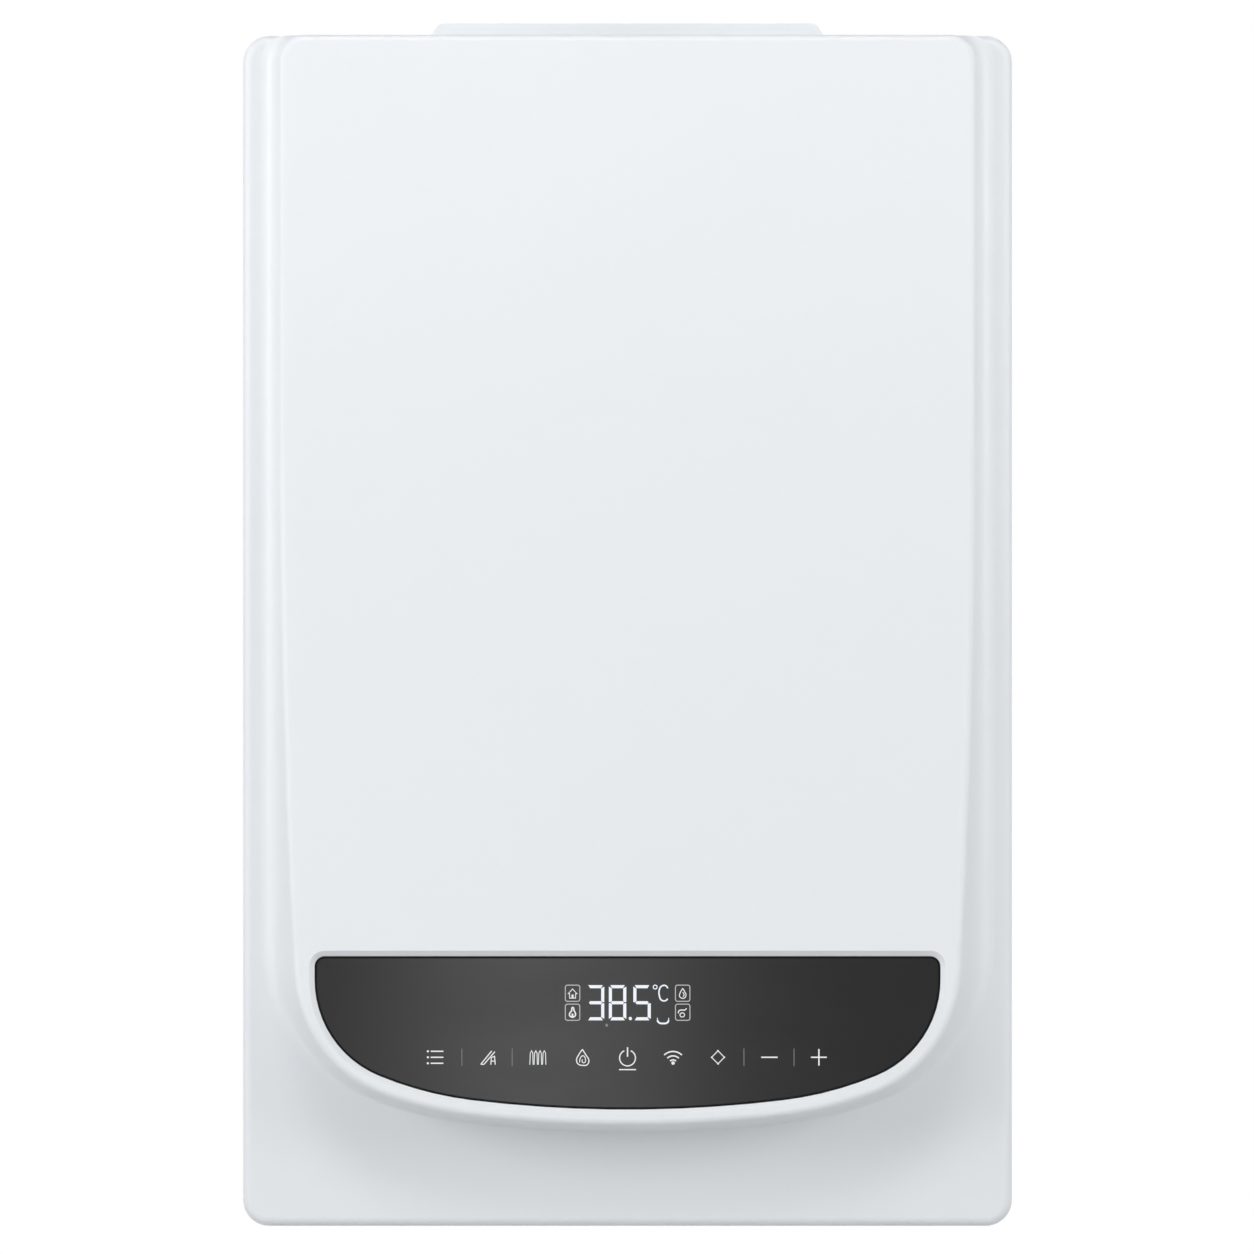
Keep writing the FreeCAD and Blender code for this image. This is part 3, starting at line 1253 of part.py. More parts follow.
def make_water():
    low = BOTTOM + S.stub_rise
    half = S.block_width / 2
    side_x = HALF - S.block_inset
    high_z = DECK + S.port_high
    flow_top = DECK + S.flow_block_height
    return_top = DECK + S.return_block_height
    inner_face = side_x - half

    body = box("flow_body", (-side_x - half, -side_x + half), (ROW - half, ROW + half), (DECK, flow_top))
    soft = rounded("flow_round", body, 5, lambda edge: along(edge, "z"))
    stub = connection("flow_stub", -side_x, S.stub_radius, DECK + 1)
    bore = rod("flow_bore", S.stub_bore, (-side_x, ROW, low - 1), flow_top - low - S.bore_end)
    guide = rod(
        "flow_guide", S.rod_radius + S.rod_gap, (-side_x, ROW, flow_top - S.guide_depth), S.guide_depth + 10
    )
    link_hole = rod("flow_link_hole", S.pipe_radius - S.tube_wall, (-side_x, ROW, high_z), half + 10, "+x")
    pipe_hole = rod(
        "flow_pipe_hole", S.pipe_radius - S.tube_wall, (-FLOW_X, ROW - half - 1, high_z), half, "+y"
    )
    piece(
        "flow_block",
        cut("flow_final", fuse("flow_whole", soft, stub), bore, guide, link_hole, pipe_hole)
    )

    stem_low = DECK + S.stem_start
    stem = rod("spindle_stem", S.rod_radius, (-side_x, ROW, stem_low), flow_top - stem_low + S.stem_reach)
    plug = rod("spindle_plug", S.plug_radius, (-side_x, ROW, DECK + S.plug_rise), S.plug_length)
    piece("valve_spindle", fuse("spindle_final", stem, plug))
    wide = S.actuator_width / 2
    top = flow_top + S.actuator_height
    case = box("actuator_case", (-side_x - wide, -side_x + wide), (ROW - wide, ROW + wide), (flow_top, top))
    soft_case = rounded("actuator_round", case, 6, lambda edge: along(edge, "z"))
    lid = rod("actuator_lid", wide - 8, (-side_x, ROW, top), 4)
    pocket = rod(
        "actuator_pocket", S.rod_radius + 0.8, (-side_x, ROW, flow_top - 1),
        S.stem_reach + S.spindle_travel + 4
    )
    piece("valve_actuator", cut("actuator_final", fuse("actuator_whole", soft_case, lid), pocket))

    body = box("return_body", (side_x - half, side_x + half), (ROW - half, ROW + half), (DECK, return_top))
    soft = rounded("return_round", body, 5, lambda edge: along(edge, "z"))
    stub = connection("return_stub", side_x, S.stub_radius, DECK + 1)
    bore = rod("return_bore", S.stub_bore, (side_x, ROW, low - 1), return_top - low + 5)
    link_hole = rod("return_link_hole", S.pipe_radius - S.tube_wall, (side_x, ROW, high_z), half + 10, "-x")
    piece("return_block", cut("return_final", fuse("return_whole", soft, stub), bore, link_hole))

    face = BACK - S.plate_depth
    low_z = DECK + S.port_low
    links = []
    for side in (-1, 1):
        path = [
            (side * S.tap_x, face, high_z), (side * S.tap_x, ROW, high_z),
            (side * inner_face, ROW, high_z)
        ]
        links.append(bent_tube(path, S.pipe_radius, S.pipe_bend, S.tube_wall))
    make_plate_exchanger(face, low_z, high_z)
    links.append(make_taps(low, face, low_z))
    links.append(make_pump(side_x, return_top))
    links.append(make_flow_pipe(half, high_z))
    piece("water_pipes", shaped("water_pipes_shape", Part.makeCompound(links)))
    make_safety(side_x, half)
    make_vessel(side_x, half)


# The pipes beside the heat stack, from the middle.
FLOW_X = HEAT_HALF + 26


def make_plate_exchanger(face, low_z, high_z):
    """Brazed plates: a core with plate edges standing out of it."""
    wide = S.tap_x + S.plate_margin
    low = low_z - S.plate_margin
    high = high_z + S.plate_margin
    step = S.plate_step
    core = box("plate_core", (-wide + step, wide - step), (face, BACK), (low + step, high - step))
    plates = []
    pitch = (S.plate_depth - 2) / (PLATE_COUNT - 1)
    for number in range(PLATE_COUNT):
        y = face + number * pitch
        raw = box(f"plate_raw_{number}", (-wide, wide), (y, y + 2), (low, high))
        plates.append(rounded(f"plate_{number}", raw, 10, lambda edge: along(edge, "y")))
    soft = rounded("plate_core_round", core, 9, lambda edge: along(edge, "y"))
    ports = []
    for number, (side, z) in enumerate(((-1, low_z), (-1, high_z), (1, low_z), (1, high_z))):
        ports.append(rod(
            f"plate_port_{number}", S.pipe_radius - S.tube_wall, (side * S.tap_x, face - 1, z), 12, "+y"
        ))
    piece("plate_exchanger", cut("plate_final", fuse("plate_whole", soft, *plates), *ports))


def make_taps(low, face, low_z):
    """The hot outlet, the flow sensor and its turbine; returns the cold pipe."""
    collar = 8
    start = DECK + collar
    stub = connection("hot_stub", -S.tap_x, S.tap_radius, start)
    nut = hexagon("hot_nut", S.tap_radius + 5, (-S.tap_x, ROW, DECK), collar)
    hole = rod("hot_hole", S.tap_bore, (-S.tap_x, ROW, low - 1), S.recess_height + 30)
    path = [(-S.tap_x, ROW, start), (-S.tap_x, ROW, low_z), (-S.tap_x, face, low_z)]
    pipe = shaped("hot_pipe", bent_tube(path, S.pipe_radius, S.pipe_bend, S.tube_wall))
    piece(
        "hot_outlet",
        fuse("hot_final", cut("hot_stub_final", fuse("hot_stub_whole", stub, nut), hole), pipe)
    )

    sensor_top = DECK + S.sensor_height
    stub = connection("cold_stub", S.tap_x, S.tap_radius, DECK + 1)
    shell = hexagon("sensor_shell", S.sensor_radius, (S.tap_x, ROW, DECK), S.sensor_height)
    low_hole = rod("cold_hole", S.tap_bore, (S.tap_x, ROW, low - 1), S.recess_height + 30)
    room = rod("sensor_room", S.turbine_space, (S.tap_x, ROW, DECK + 4), S.sensor_height - 7)
    hollow = cut("sensor_hollow", fuse("sensor_whole", stub, shell), low_hole, room)
    web = box(
        "sensor_web", (S.tap_x - S.turbine_space - 1, S.tap_x + S.turbine_space + 1),
        (ROW - 1.5, ROW + 1.5), (DECK + 4, DECK + 7)
    )
    pin = rod("sensor_pin", S.turbine_pin, (S.tap_x, ROW, DECK + 5), S.sensor_height - 9)
    piece("flow_sensor", fuse("sensor_final", hollow, web, pin))
    body = DOC.addObject("PartDesign::Body", "turbine_body")
    hub = sketch_on(body, "XY_Plane", "turbine_hub")
    draw_circle(hub, 3.5)
    draw_circle(hub, S.turbine_pin + S.bearing_gap)
    pad(body, hub, "turbine_boss", 8)
    vane = sketch_on(body, "XY_Plane", "turbine_vane")
    draw_outline(vane, [(3, -0.6), (S.turbine_radius, -0.6), (S.turbine_radius, 0.6), (3, 0.6)])
    vanes = pad(body, vane, "turbine_blade", 8)
    turned_copies(body, vanes, "turbine_blades", VANE_COUNT)
    place(body, (S.tap_x, ROW, DECK + 7.3))
    piece("flow_turbine", body)
    path = [(S.tap_x, ROW, sensor_top), (S.tap_x, ROW, low_z), (S.tap_x, face, low_z)]
    return bent_tube(path, S.pipe_radius, S.pipe_bend - 1, S.tube_wall)


def make_pump(side_x, return_top):
    """The pump, its rotor and air vent; returns the pipe to the exchanger."""
    rear = ROW + S.pump_width / 2 + 8
    front = rear - S.pump_width
    middle = (rear + front) / 2
    z = return_top + S.pump_neck + S.pump_radius
    out_x = FLOW_X
    drum = rod("pump_drum", S.pump_radius, (side_x, rear, z), S.pump_width, "-y")
    neck = rod(
        "pump_neck_rod", S.stub_radius + 2, (side_x, middle, return_top), S.pump_neck + S.pump_radius
    )
    out = rod("pump_out", S.outlet_radius, (out_x, middle, z), S.pump_radius + S.outlet_rise)
    boss_x = side_x + S.outlet_offset
    boss = rod("pump_boss", S.outlet_radius - 3, (boss_x, middle, z), S.pump_radius + 4)
    room = rod(
        "pump_room", S.pump_radius - 2 * S.pump_wall, (side_x, front, z), S.pump_width - S.pump_wall,
        "+y"
    )
    inlet = rod("pump_inlet", S.stub_bore, (side_x, middle, return_top - 1), S.pump_neck + S.pump_radius)
    outlet = rod(
        "pump_outlet", S.pipe_radius - S.tube_wall, (out_x, middle, z), S.pump_radius + S.outlet_rise + 1
    )
    vent_hole = rod("pump_vent_hole", 3, (boss_x, middle, z), S.pump_radius + 10)
    piece(
        "pump_volute",
        cut("pump_final", fuse("pump_whole", drum, neck, out, boss), room, inlet, outlet, vent_hole)
    )

    tip = front - S.motor_length
    barrel = rod("pump_barrel", S.motor_radius, (side_x, front, z), S.motor_length, "-y")
    soft = rounded("pump_barrel_round", barrel, 6, lambda edge: abs(edge.CenterOfMass.y - tip.value) < 0.1
                   and edge.Curve.TypeId == "Part::GeomCircle")
    can = rod("pump_can", S.can_radius, (side_x, front + 1, z), S.motor_length - 9, "-y")
    seat = rod(
        "pump_seat", S.shaft_radius + S.bearing_gap, (side_x, front + 1, z), S.motor_length - 3, "-y"
    )
    terminal = box(
        "pump_terminal", (side_x - 18, side_x + 18), (front - 50, front - 14),
        (z, z + S.motor_radius + 16)
    )
    piece("pump_motor", cut("pump_motor_final", fuse("pump_motor_whole", soft, terminal), can, seat))

    body = DOC.addObject("PartDesign::Body", "pump_rotor_body")
    stem = sketch_on(body, "XY_Plane", "rotor_stem")
    draw_circle(stem, S.shaft_radius)
    shaft_length = S.motor_length + 8
    pad(body, stem, "rotor_shaft", shaft_length)
    disc = sketch_on(body, "XY_Plane", "rotor_disc")
    draw_circle(disc, S.rotor_wheel)
    pad(body, disc, "rotor_wheel_plate", 3)
    vane = sketch_on(body, "XY_Plane", "rotor_vane")
    draw_outline(vane, [(9, -1), (S.rotor_wheel - 1, -1), (S.rotor_wheel - 1, 1), (9, 1)])
    vanes = pad(body, vane, "rotor_blade", 10)
    vanes.Reversed = True
    turned_copies(body, vanes, "rotor_blades", VANE_COUNT)
    place(body, (side_x, front + 12, z), "-y")
    DOC.recompute()
    magnet = rod("rotor_magnet", S.rotor_radius, (side_x, front - 6, z), S.motor_length - 20, "-y")
    piece("pump_rotor", fuse("pump_rotor_final", body, magnet))

    cap_low = z + S.pump_radius + 4
    can_rod = rod("vent_can", S.vent_radius, (boss_x, middle, cap_low), S.vent_height)
    cap = rod("vent_cap", S.vent_radius - 6, (boss_x, middle, cap_low + S.vent_height), 6)
    piece("air_vent", fuse("vent_final", can_rod, cap))

    y_back = tube_rows()[0]
    z_heat = (HEAT_TOP + HEAT_LOW) / 2
    out_top = z + S.pump_radius + S.outlet_rise
    path = [
        (out_x, middle, out_top),
        (out_x, middle, out_top + 30),
        (out_x, y_back, out_top + 75),
        (out_x, y_back, z_heat),
        (HEAT_HALF + S.tube_reach, y_back, z_heat),
    ]
    return bent_tube(path, S.heat_tube, S.pipe_bend, S.tube_wall)


def knob(name, spot, turn, stem_length):
    """A turning knob with finger grooves and a stem behind it."""
    body = DOC.addObject("PartDesign::Body", name + "_body")
    rim = sketch_on(body, "XY_Plane", name + "_rim")
    draw_circle(rim, S.knob_radius)
    pad(body, rim, name + "_cap", S.knob_height)
    groove = sketch_on(body, "XY_Plane", name + "_groove")
    draw_circle(groove, S.knob_grip, S.knob_radius + S.knob_grip / 2, 0)
    cuts = pocket_through(body, groove, name + "_grip")
    turned_copies(body, cuts, name + "_grips", GRIP_COUNT)
    stem = sketch_on(body, "XY_Plane", name + "_stem")
    draw_circle(stem, S.knob_stem)
    shaft = pad(body, stem, name + "_shaft", stem_length)
    shaft.Reversed = True
    place(body, spot, turn)
    return body


def make_safety(side_x, half):
    """Relief and filling valves with their knobs."""
    front = ROW - half
    z = DECK + S.relief_rise
    barrel = rod("relief_barrel", S.relief_radius, (side_x, front, z), S.relief_length, "-y")
    x, y = drip_spot()
    drip_low = FLOOR - S.recess_height / 2
    thread = rod("relief_thread", S.drip_radius, (x, y, drip_low), S.drip_thread)
    drip = rod("relief_drip", S.drip_radius - S.drip_neck, (x, y, drip_low), z - drip_low)
    bore = rod("relief_bore", S.drip_radius - S.drip_neck - 2, (x, y, drip_low - 1), z - drip_low)
    seat_depth = 12
    seat = rod(
        "relief_seat", S.knob_stem + S.bearing_gap, (side_x, front - S.relief_length - 1, z),
        seat_depth + 1, "+y"
    )
    piece("relief_valve", cut("relief_final", fuse("relief_whole", barrel, drip, thread), bore, seat))
    knob_y = front - S.relief_length - S.knob_gap
    piece("relief_knob", knob("relief_knob", (side_x, knob_y, z), "-y", S.knob_gap + seat_depth - 2))

    x, y = filling_spot()
    wide = S.filling_width / 2
    body = box("filling_body", (x - wide, x + wide), (y - wide, y + wide), (DECK, DECK + S.filling_height))
    depth = S.filling_height - 8
    seat = rod("filling_seat", S.knob_stem + S.bearing_gap, (x, y, DECK - 1), depth + 1)
    piece("filling_valve", cut("filling_final", body, seat))
    knob_z = FLOOR - S.knob_gap
    piece("filling_knob", knob("filling_knob", (x, y, knob_z), "-z", S.knob_gap + S.sheet + depth - 2))


def make_flow_pipe(half, high_z):
    """The thermostat on the flow pipe; returns the pipe from the exchanger."""
    y = tube_rows()[-1]
    z_heat = (HEAT_TOP + HEAT_LOW) / 2
    path = [
        (-HEAT_HALF - S.tube_reach, y, z_heat),
        (-FLOW_X, y, z_heat),
        (-FLOW_X, y, high_z),
        (-FLOW_X, ROW - half, high_z),
    ]
    clip_z = HEAT_LOW - 40
    ring = cut("clip_ring", rod("clip_outer", S.heat_tube + 2, (-FLOW_X, y, clip_z), 14),
               rod("clip_inner", S.heat_tube, (-FLOW_X, y, clip_z - 1), 16))
    disc = rod("clip_disc", 8, (-FLOW_X, y - S.heat_tube - 1.5, clip_z + 7), 9, "-y")
    piece("overheat_thermostat", fuse("clip_final", ring, disc))
    return bent_tube(path, S.heat_tube, S.pipe_bend, S.tube_wall)


# The expansion vessel's bounds.
VESSEL_X = (HALF - S.vessel_gap - S.vessel_thick, HALF - S.vessel_gap)
VESSEL_MIDDLE = (VESSEL_X[0] + VESSEL_X[1]) / 2
VESSEL_Z = (DECK + S.vessel_rise, TOP - S.vessel_drop)


def vessel_straps():
    """Two straps from the back panel to the expansion vessel."""
    straps = []
    x = (VESSEL_X[0] + S.vessel_round, VESSEL_MIDDLE - 2)
    for word, z in (("top", VESSEL_Z[1] - S.vessel_round - 30), ("foot", VESSEL_Z[0] + S.vessel_round)):
        straps.append(box(f"strap_{word}", x, (-S.vessel_back, BACK), (z, z + 30)))
    return straps


def make_vessel(side_x, half):
    inner, outer = VESSEL_X
    low, high = VESSEL_Z
    middle = VESSEL_MIDDLE
    back = -S.vessel_back
    front = back - S.vessel_depth
    can = box("vessel_can", (inner, outer), (front, back), (low, high))
    soft = rounded("vessel_soft", can, S.vessel_round, lambda edge: True)
    seam_raw = box(
        "vessel_seam_raw", (middle - 2, middle + 2), (front - 1.5, back + 1.5), (low - 1.5, high + 1.5)
    )
    seam = rounded("vessel_seam", seam_raw, S.vessel_round, lambda edge: along(edge, "x"))
    hose_x = HALF - S.hose_inset
    hose_y = -S.hose_depth
    port = rod("vessel_port", S.hose_radius + 2, (middle, hose_y, low - 8), 20)
    wall = S.vessel_wall
    gap = box(
        "vessel_gap", (inner + wall, outer - wall), (front + wall, back - wall), (low + wall, high - wall)
    )
    space = rounded("vessel_space", gap, S.vessel_round - wall, lambda edge: True)
    bore = rod("vessel_bore", S.hose_radius - S.hose_wall, (middle, hose_y, low - 9), 14)
    piece("expansion_vessel", cut("vessel_final", fuse("vessel_whole", soft, seam, port), space, bore))
    end_z = DECK + 50
    path = [
        (middle, hose_y, low - 8),
        (middle, hose_y, low - 22),
        (hose_x, hose_y, low - 50),
        (hose_x, hose_y, end_z),
        (side_x + half, hose_y, end_z),
    ]
    piece("vessel_hose", shaped("vessel_hose_shape", bent_tube(path, S.hose_radius, 9, S.hose_wall)))


def make_control():
    left = -HALF + S.box_left
    right = left + S.box_width
    front = -S.base_depth + S.cover_wall + S.box_gap
    rear = front + S.box_depth
    low = DECK + S.box_lift
    high = low + S.box_height
    wall = S.box_wall
    outer = box("tray_outer", (left, right), (front, rear), (low, high))
    inner = box(
        "tray_inner", (left + wall, right - wall), (front - 1, rear - wall), (low + wall, high - wall)
    )
    legs = []
    for word, x in (("left", left + S.leg_left), ("right", right - S.leg_right)):
        wide = (x - S.leg_half, x + S.leg_half)
        legs.append(box(f"tray_leg_{word}", wide, (rear, rear + S.leg_depth), (DECK, low + S.leg_rise)))
        legs.append(box(
            f"tray_foot_{word}", wide, (rear, rear + S.foot_reach), (DECK, DECK + S.foot_thick)
        ))
    board_y = rear - wall - S.post_height
    posts = []
    sides = (left + S.post_inset, right - S.post_inset)
    levels = (low + S.post_inset, high - S.post_inset)
    for number, (x, z) in enumerate((x, z) for x in sides for z in levels):
        posts.append(rod(f"tray_post_{number}", S.post_radius, (x, rear - wall, z), S.post_height, "-y"))
    piece("control_box", fuse("tray_final", cut("tray_shell", outer, inner), *legs, *posts))
    lip = S.lid_lip
    piece("control_lid", box(
        "lid_plate", (left - lip, right + lip), (front - S.lid_thick, front), (low - lip, high + lip)
    ))
    edge = wall + S.board_margin
    board = box(
        "board_plate", (left + edge, right - edge), (board_y - S.board_thick, board_y),
        (low + edge, high - edge)
    )
    face = board_y - S.board_thick
    relays = []
    for number in range(4):
        x = left + S.relay_start + number * S.relay_pitch
        relays.append(box(
            f"board_relay_{number}", (x, x + S.relay_width), (face - S.relay_depth, face),
            (low + S.relay_tall, low + 2 * S.relay_tall)
        ))
    coil_right = right - S.transformer_inset
    coil_low = low + S.transformer_tall / 2
    coil = box(
        "board_transformer", (coil_right - S.transformer_width, coil_right),
        (face - S.transformer_depth, face), (coil_low, coil_low + S.transformer_tall)
    )
    cans = []
    for number in range(3):
        x = left + S.capacitor_start + number * S.capacitor_pitch
        spot = (x, face, high - S.capacitor_drop)
        cans.append(rod(f"board_can_{number}", S.capacitor_radius, spot, S.capacitor_length, "-y"))
    chip_right = right - S.chip_inset
    chip_high = high - S.chip_drop
    chip = box(
        "board_chip", (chip_right - S.chip_side, chip_right), (face - S.chip_thick, face),
        (chip_high - S.chip_side, chip_high)
    )
    piece("main_board", fuse("board_final", board, *relays, coil, *cans, chip))


# The console plane: its top line and its own upright direction.
TILT = math.radians(S.console_tilt.value)
SWEEP_Z = BOTTOM.value + S.sweep_rise.value
CONSOLE_Z = BOTTOM.value + S.console_rise.value
SWEEP_RADIUS = (SWEEP_Z - CONSOLE_Z) / math.sin(TILT)
CONSOLE_Y = -(S.base_depth.value + S.face_step.value) - SWEEP_RADIUS * (1 - math.cos(TILT))
GLASS_TOP = -(S.console_margin.value + S.bevel_width.value)
GLASS_HALF = HALF.value - S.glass_inset.value
# A wider glass has flatter arcs, so that their rise stays the same.
ARC_SCALE = (GLASS_HALF / S.glass_model.value) ** 2
ARC_RADII = (S.chin_radius.value * ARC_SCALE, S.shoulder_radius.value * ARC_SCALE, S.side_radius.value)
CHIN_DROP = S.glass_height.value + S.rim_width.value - GLASS_TOP
CHIN_RISE = -CONSOLE_Y - S.base_depth.value + CHIN_DROP * math.sin(TILT)


def smile_wire(half, top, low, radii, corner, spot):
    """A closed outline with a straight top and a lower edge of five arcs.

    spot turns a point across and up into a point in space.
    """
    chin, shoulder, side = radii
    first = math.radians(S.chin_angle.value)
    lean = (half - side - (chin - shoulder) * math.sin(first)) / (shoulder - side)
    second = math.asin(lean)

    def on(middle, radius, angle):
        return middle[0] + radius * math.sin(angle), middle[1] - radius * math.cos(angle)

    chin_middle = (0.0, low + chin)
    chin_end = on(chin_middle, chin, first)
    shoulder_middle = on(chin_end, -shoulder, first)
    shoulder_end = on(shoulder_middle, shoulder, second)
    side_middle = on(shoulder_end, -side, second)
    side_end = (side_middle[0] + side, side_middle[1])
    shoulder_mid = on(shoulder_middle, shoulder, (first + second) / 2)
    side_mid = on(side_middle, side, (second + math.pi / 2) / 2)
    inset = corner * (1 - math.sqrt(0.5))
    corner_low = (half, top - corner)
    corner_mid = (half - inset, top - inset)
    corner_high = (half - corner, top)

    def across(point):
        return -point[0], point[1]

    def line(start, end):
        return Part.makeLine(spot(*start), spot(*end))

    def arc(start, middle, end):
        return Part.Arc(spot(*start), spot(*middle), spot(*end)).toShape()

    return Part.Wire([
        line(across(corner_high), corner_high),
        arc(corner_high, corner_mid, corner_low),
        line(corner_low, side_end),
        arc(side_end, side_mid, shoulder_end),
        arc(shoulder_end, shoulder_mid, chin_end),
        arc(chin_end, (0.0, low), across(chin_end)),
        arc(across(chin_end), across(shoulder_mid), across(shoulder_end)),
        arc(across(shoulder_end), across(side_mid), across(side_end)),
        line(across(side_end), across(corner_low)),
        arc(across(corner_low), across(corner_mid), across(corner_high)),
    ])


def panel_section(height, spread, inset):
    """The raised panel's outline at a height above the flat front."""
    below_rim = S.flank_lean.value * CHIN_RISE + spread
    radii = [radius + S.rim_width.value + below_rim - inset for radius in ARC_RADII]
    # The chin drops more steeply than the sides.
    chin_share = S.chin_lean.value / S.flank_lean.value
    low = CONSOLE_Z - CHIN_DROP * math.cos(TILT) - chin_share * below_rim + inset
    top = TOP.value - S.top_draft.value * height / S.loft_height.value - inset
    half = HALF.value - S.flank_foot.value + spread - inset
    y = -(S.base_depth.value + height)
    return smile_wire(half, top, low, radii, S.case_corner.value - inset, lambda x, z: Vector(x, y, z))


def raised_form(name, inset):
    """The raised panel before its face is cut, with a root in the flat front."""
    lean = S.flank_lean.value
    blend = S.foot_blend.value
    steep = math.atan(1 / lean)
    reach = blend * math.tan(steep / 2)
    sections = []
    for share in (0, 0.35, 0.7, 1.0):
        angle = steep * share
        sections.append((blend * (1 - math.cos(angle)), reach - blend * math.sin(angle)))
    for share in (0.4, 0.7, 1.0):
        height = S.loft_height.value * share
        sections.append((height, -lean * height))
    wires = [shaped(f"{name}_section_{i}", panel_section(*spot, inset)) for i, spot in enumerate(sections)]
    loft = DOC.addObject("Part::Loft", name + "_loft")
    loft.Sections = wires
    loft.Solid = True
    loft.Ruled = False
    root = DOC.addObject("Part::Extrusion", name + "_root")
    root.Base = wires[0]
    root.DirMode = "Custom"
    root.Dir = Vector(0, 1, 0)
    root.Solid = True
    bind(root, LengthFwd=S.cover_edge * 2)
    return loft, root


def face_cutter(name, inset):
    """Everything in front of the panel's face: upright, then swept, then the console's slope."""
    y = -(S.base_depth.value + S.face_step.value) + inset
    high = TOP.value + 30
    far = -(S.base_depth.value + 300)
    x = -S.case_width.value

    def sweep(angle):
        return Vector(x, y - SWEEP_RADIUS * (1 - math.cos(angle)), SWEEP_Z - SWEEP_RADIUS * math.sin(angle))

    crown = Vector(x, y, high)
    start = sweep(0)
    end = sweep(TILT)
    foot = end + Vector(0, -math.sin(TILT), -math.cos(TILT)) * 2 * CHIN_DROP
    outline = Part.Wire([
        Part.makeLine(crown, start),
        Part.Arc(start, sweep(TILT / 2), end).toShape(),
        Part.makeLine(end, foot),
        Part.makeLine(foot, Vector(x, far, foot.z)),
        Part.makeLine(Vector(x, far, foot.z), Vector(x, far, high)),
        Part.makeLine(Vector(x, far, high), crown),
    ])
    made = DOC.addObject("Part::Extrusion", name)
    made.Base = shaped(name + "_outline", outline)
    made.DirMode = "Custom"
    made.Dir = Vector(1, 0, 0)
    made.Solid = True
    bind(made, LengthFwd=S.case_width * 2)
    return made


def on_panel_face(point):
    """True for a point on the panel's face surface."""
    y = -(S.base_depth.value + S.face_step.value)
    if point.z < CONSOLE_Z:
        y = CONSOLE_Y - math.tan(TILT) * (CONSOLE_Z - point.z)
    elif point.z < SWEEP_Z:
        drop = SWEEP_Z - point.z
        y -= SWEEP_RADIUS - math.sqrt(SWEEP_RADIUS ** 2 - drop ** 2)
    return abs(point.y - y) < 0.01


def panel_border(edge):
    """True for an edge of the panel's face that isn't a seam inside the face."""
    first, last = edge.FirstParameter, edge.LastParameter
    points = [edge.valueAt(first + (last - first) * share / 4) for share in range(5)]
    if not all(on_panel_face(point) for point in points):
        return False
    level = abs(points[0].z - points[-1].z) < 0.001
    seam = min(abs(points[0].z - SWEEP_Z), abs(points[0].z - CONSOLE_Z)) < 0.01
    return not (level and seam)


def console_point(depth):
    """Points of the console, across and up from its top line, below its face."""
    def spot(across, up):
        return Vector(
            across,
            CONSOLE_Y + up * math.sin(TILT) + depth * math.cos(TILT),
            CONSOLE_Z + up * math.cos(TILT) - depth * math.sin(TILT),
        )
    return spot


def glass_wire(grow, depth):
    """The glass outline, grown evenly, at a depth below the console's face."""
    top = GLASS_TOP + grow
    low = GLASS_TOP - S.glass_height.value - grow
    radii = [radius + grow for radius in ARC_RADII]
    corner = max(S.glass_corner.value + grow, 1.0)
    return smile_wire(GLASS_HALF + grow, top, low, radii, corner, console_point(depth))


def glass_plate(name, grow, depth, thick):
    """A plate with the glass outline, from a depth below the console's face inwards."""
    made = DOC.addObject("Part::Extrusion", name)
    made.Base = shaped(name + "_outline", glass_wire(value(grow), value(depth)))
    made.DirMode = "Custom"
    made.Dir = Vector(0, math.cos(TILT), -math.sin(TILT))
    made.Solid = True
    bind(made, LengthFwd=thick)
    return made


def cover_slab(name, inset, rear):
    """The flat part of the cover with its skirt."""
    wide = (-HALF + inset, HALF - inset)
    tall = (BOTTOM + inset, TOP - inset)
    front = -S.base_depth + inset
    raw = box(name + "_block", wide, (front, rear), tall)
    upright = rounded(name + "_corners", raw, S.case_corner - inset, lambda edge: along(edge, "y"))
    level = front.value
    radius = S.cover_edge.value - value(inset)
    return rounded(name, upright, radius, lambda edge: abs(edge.BoundBox.YMax - level) < 0.001)


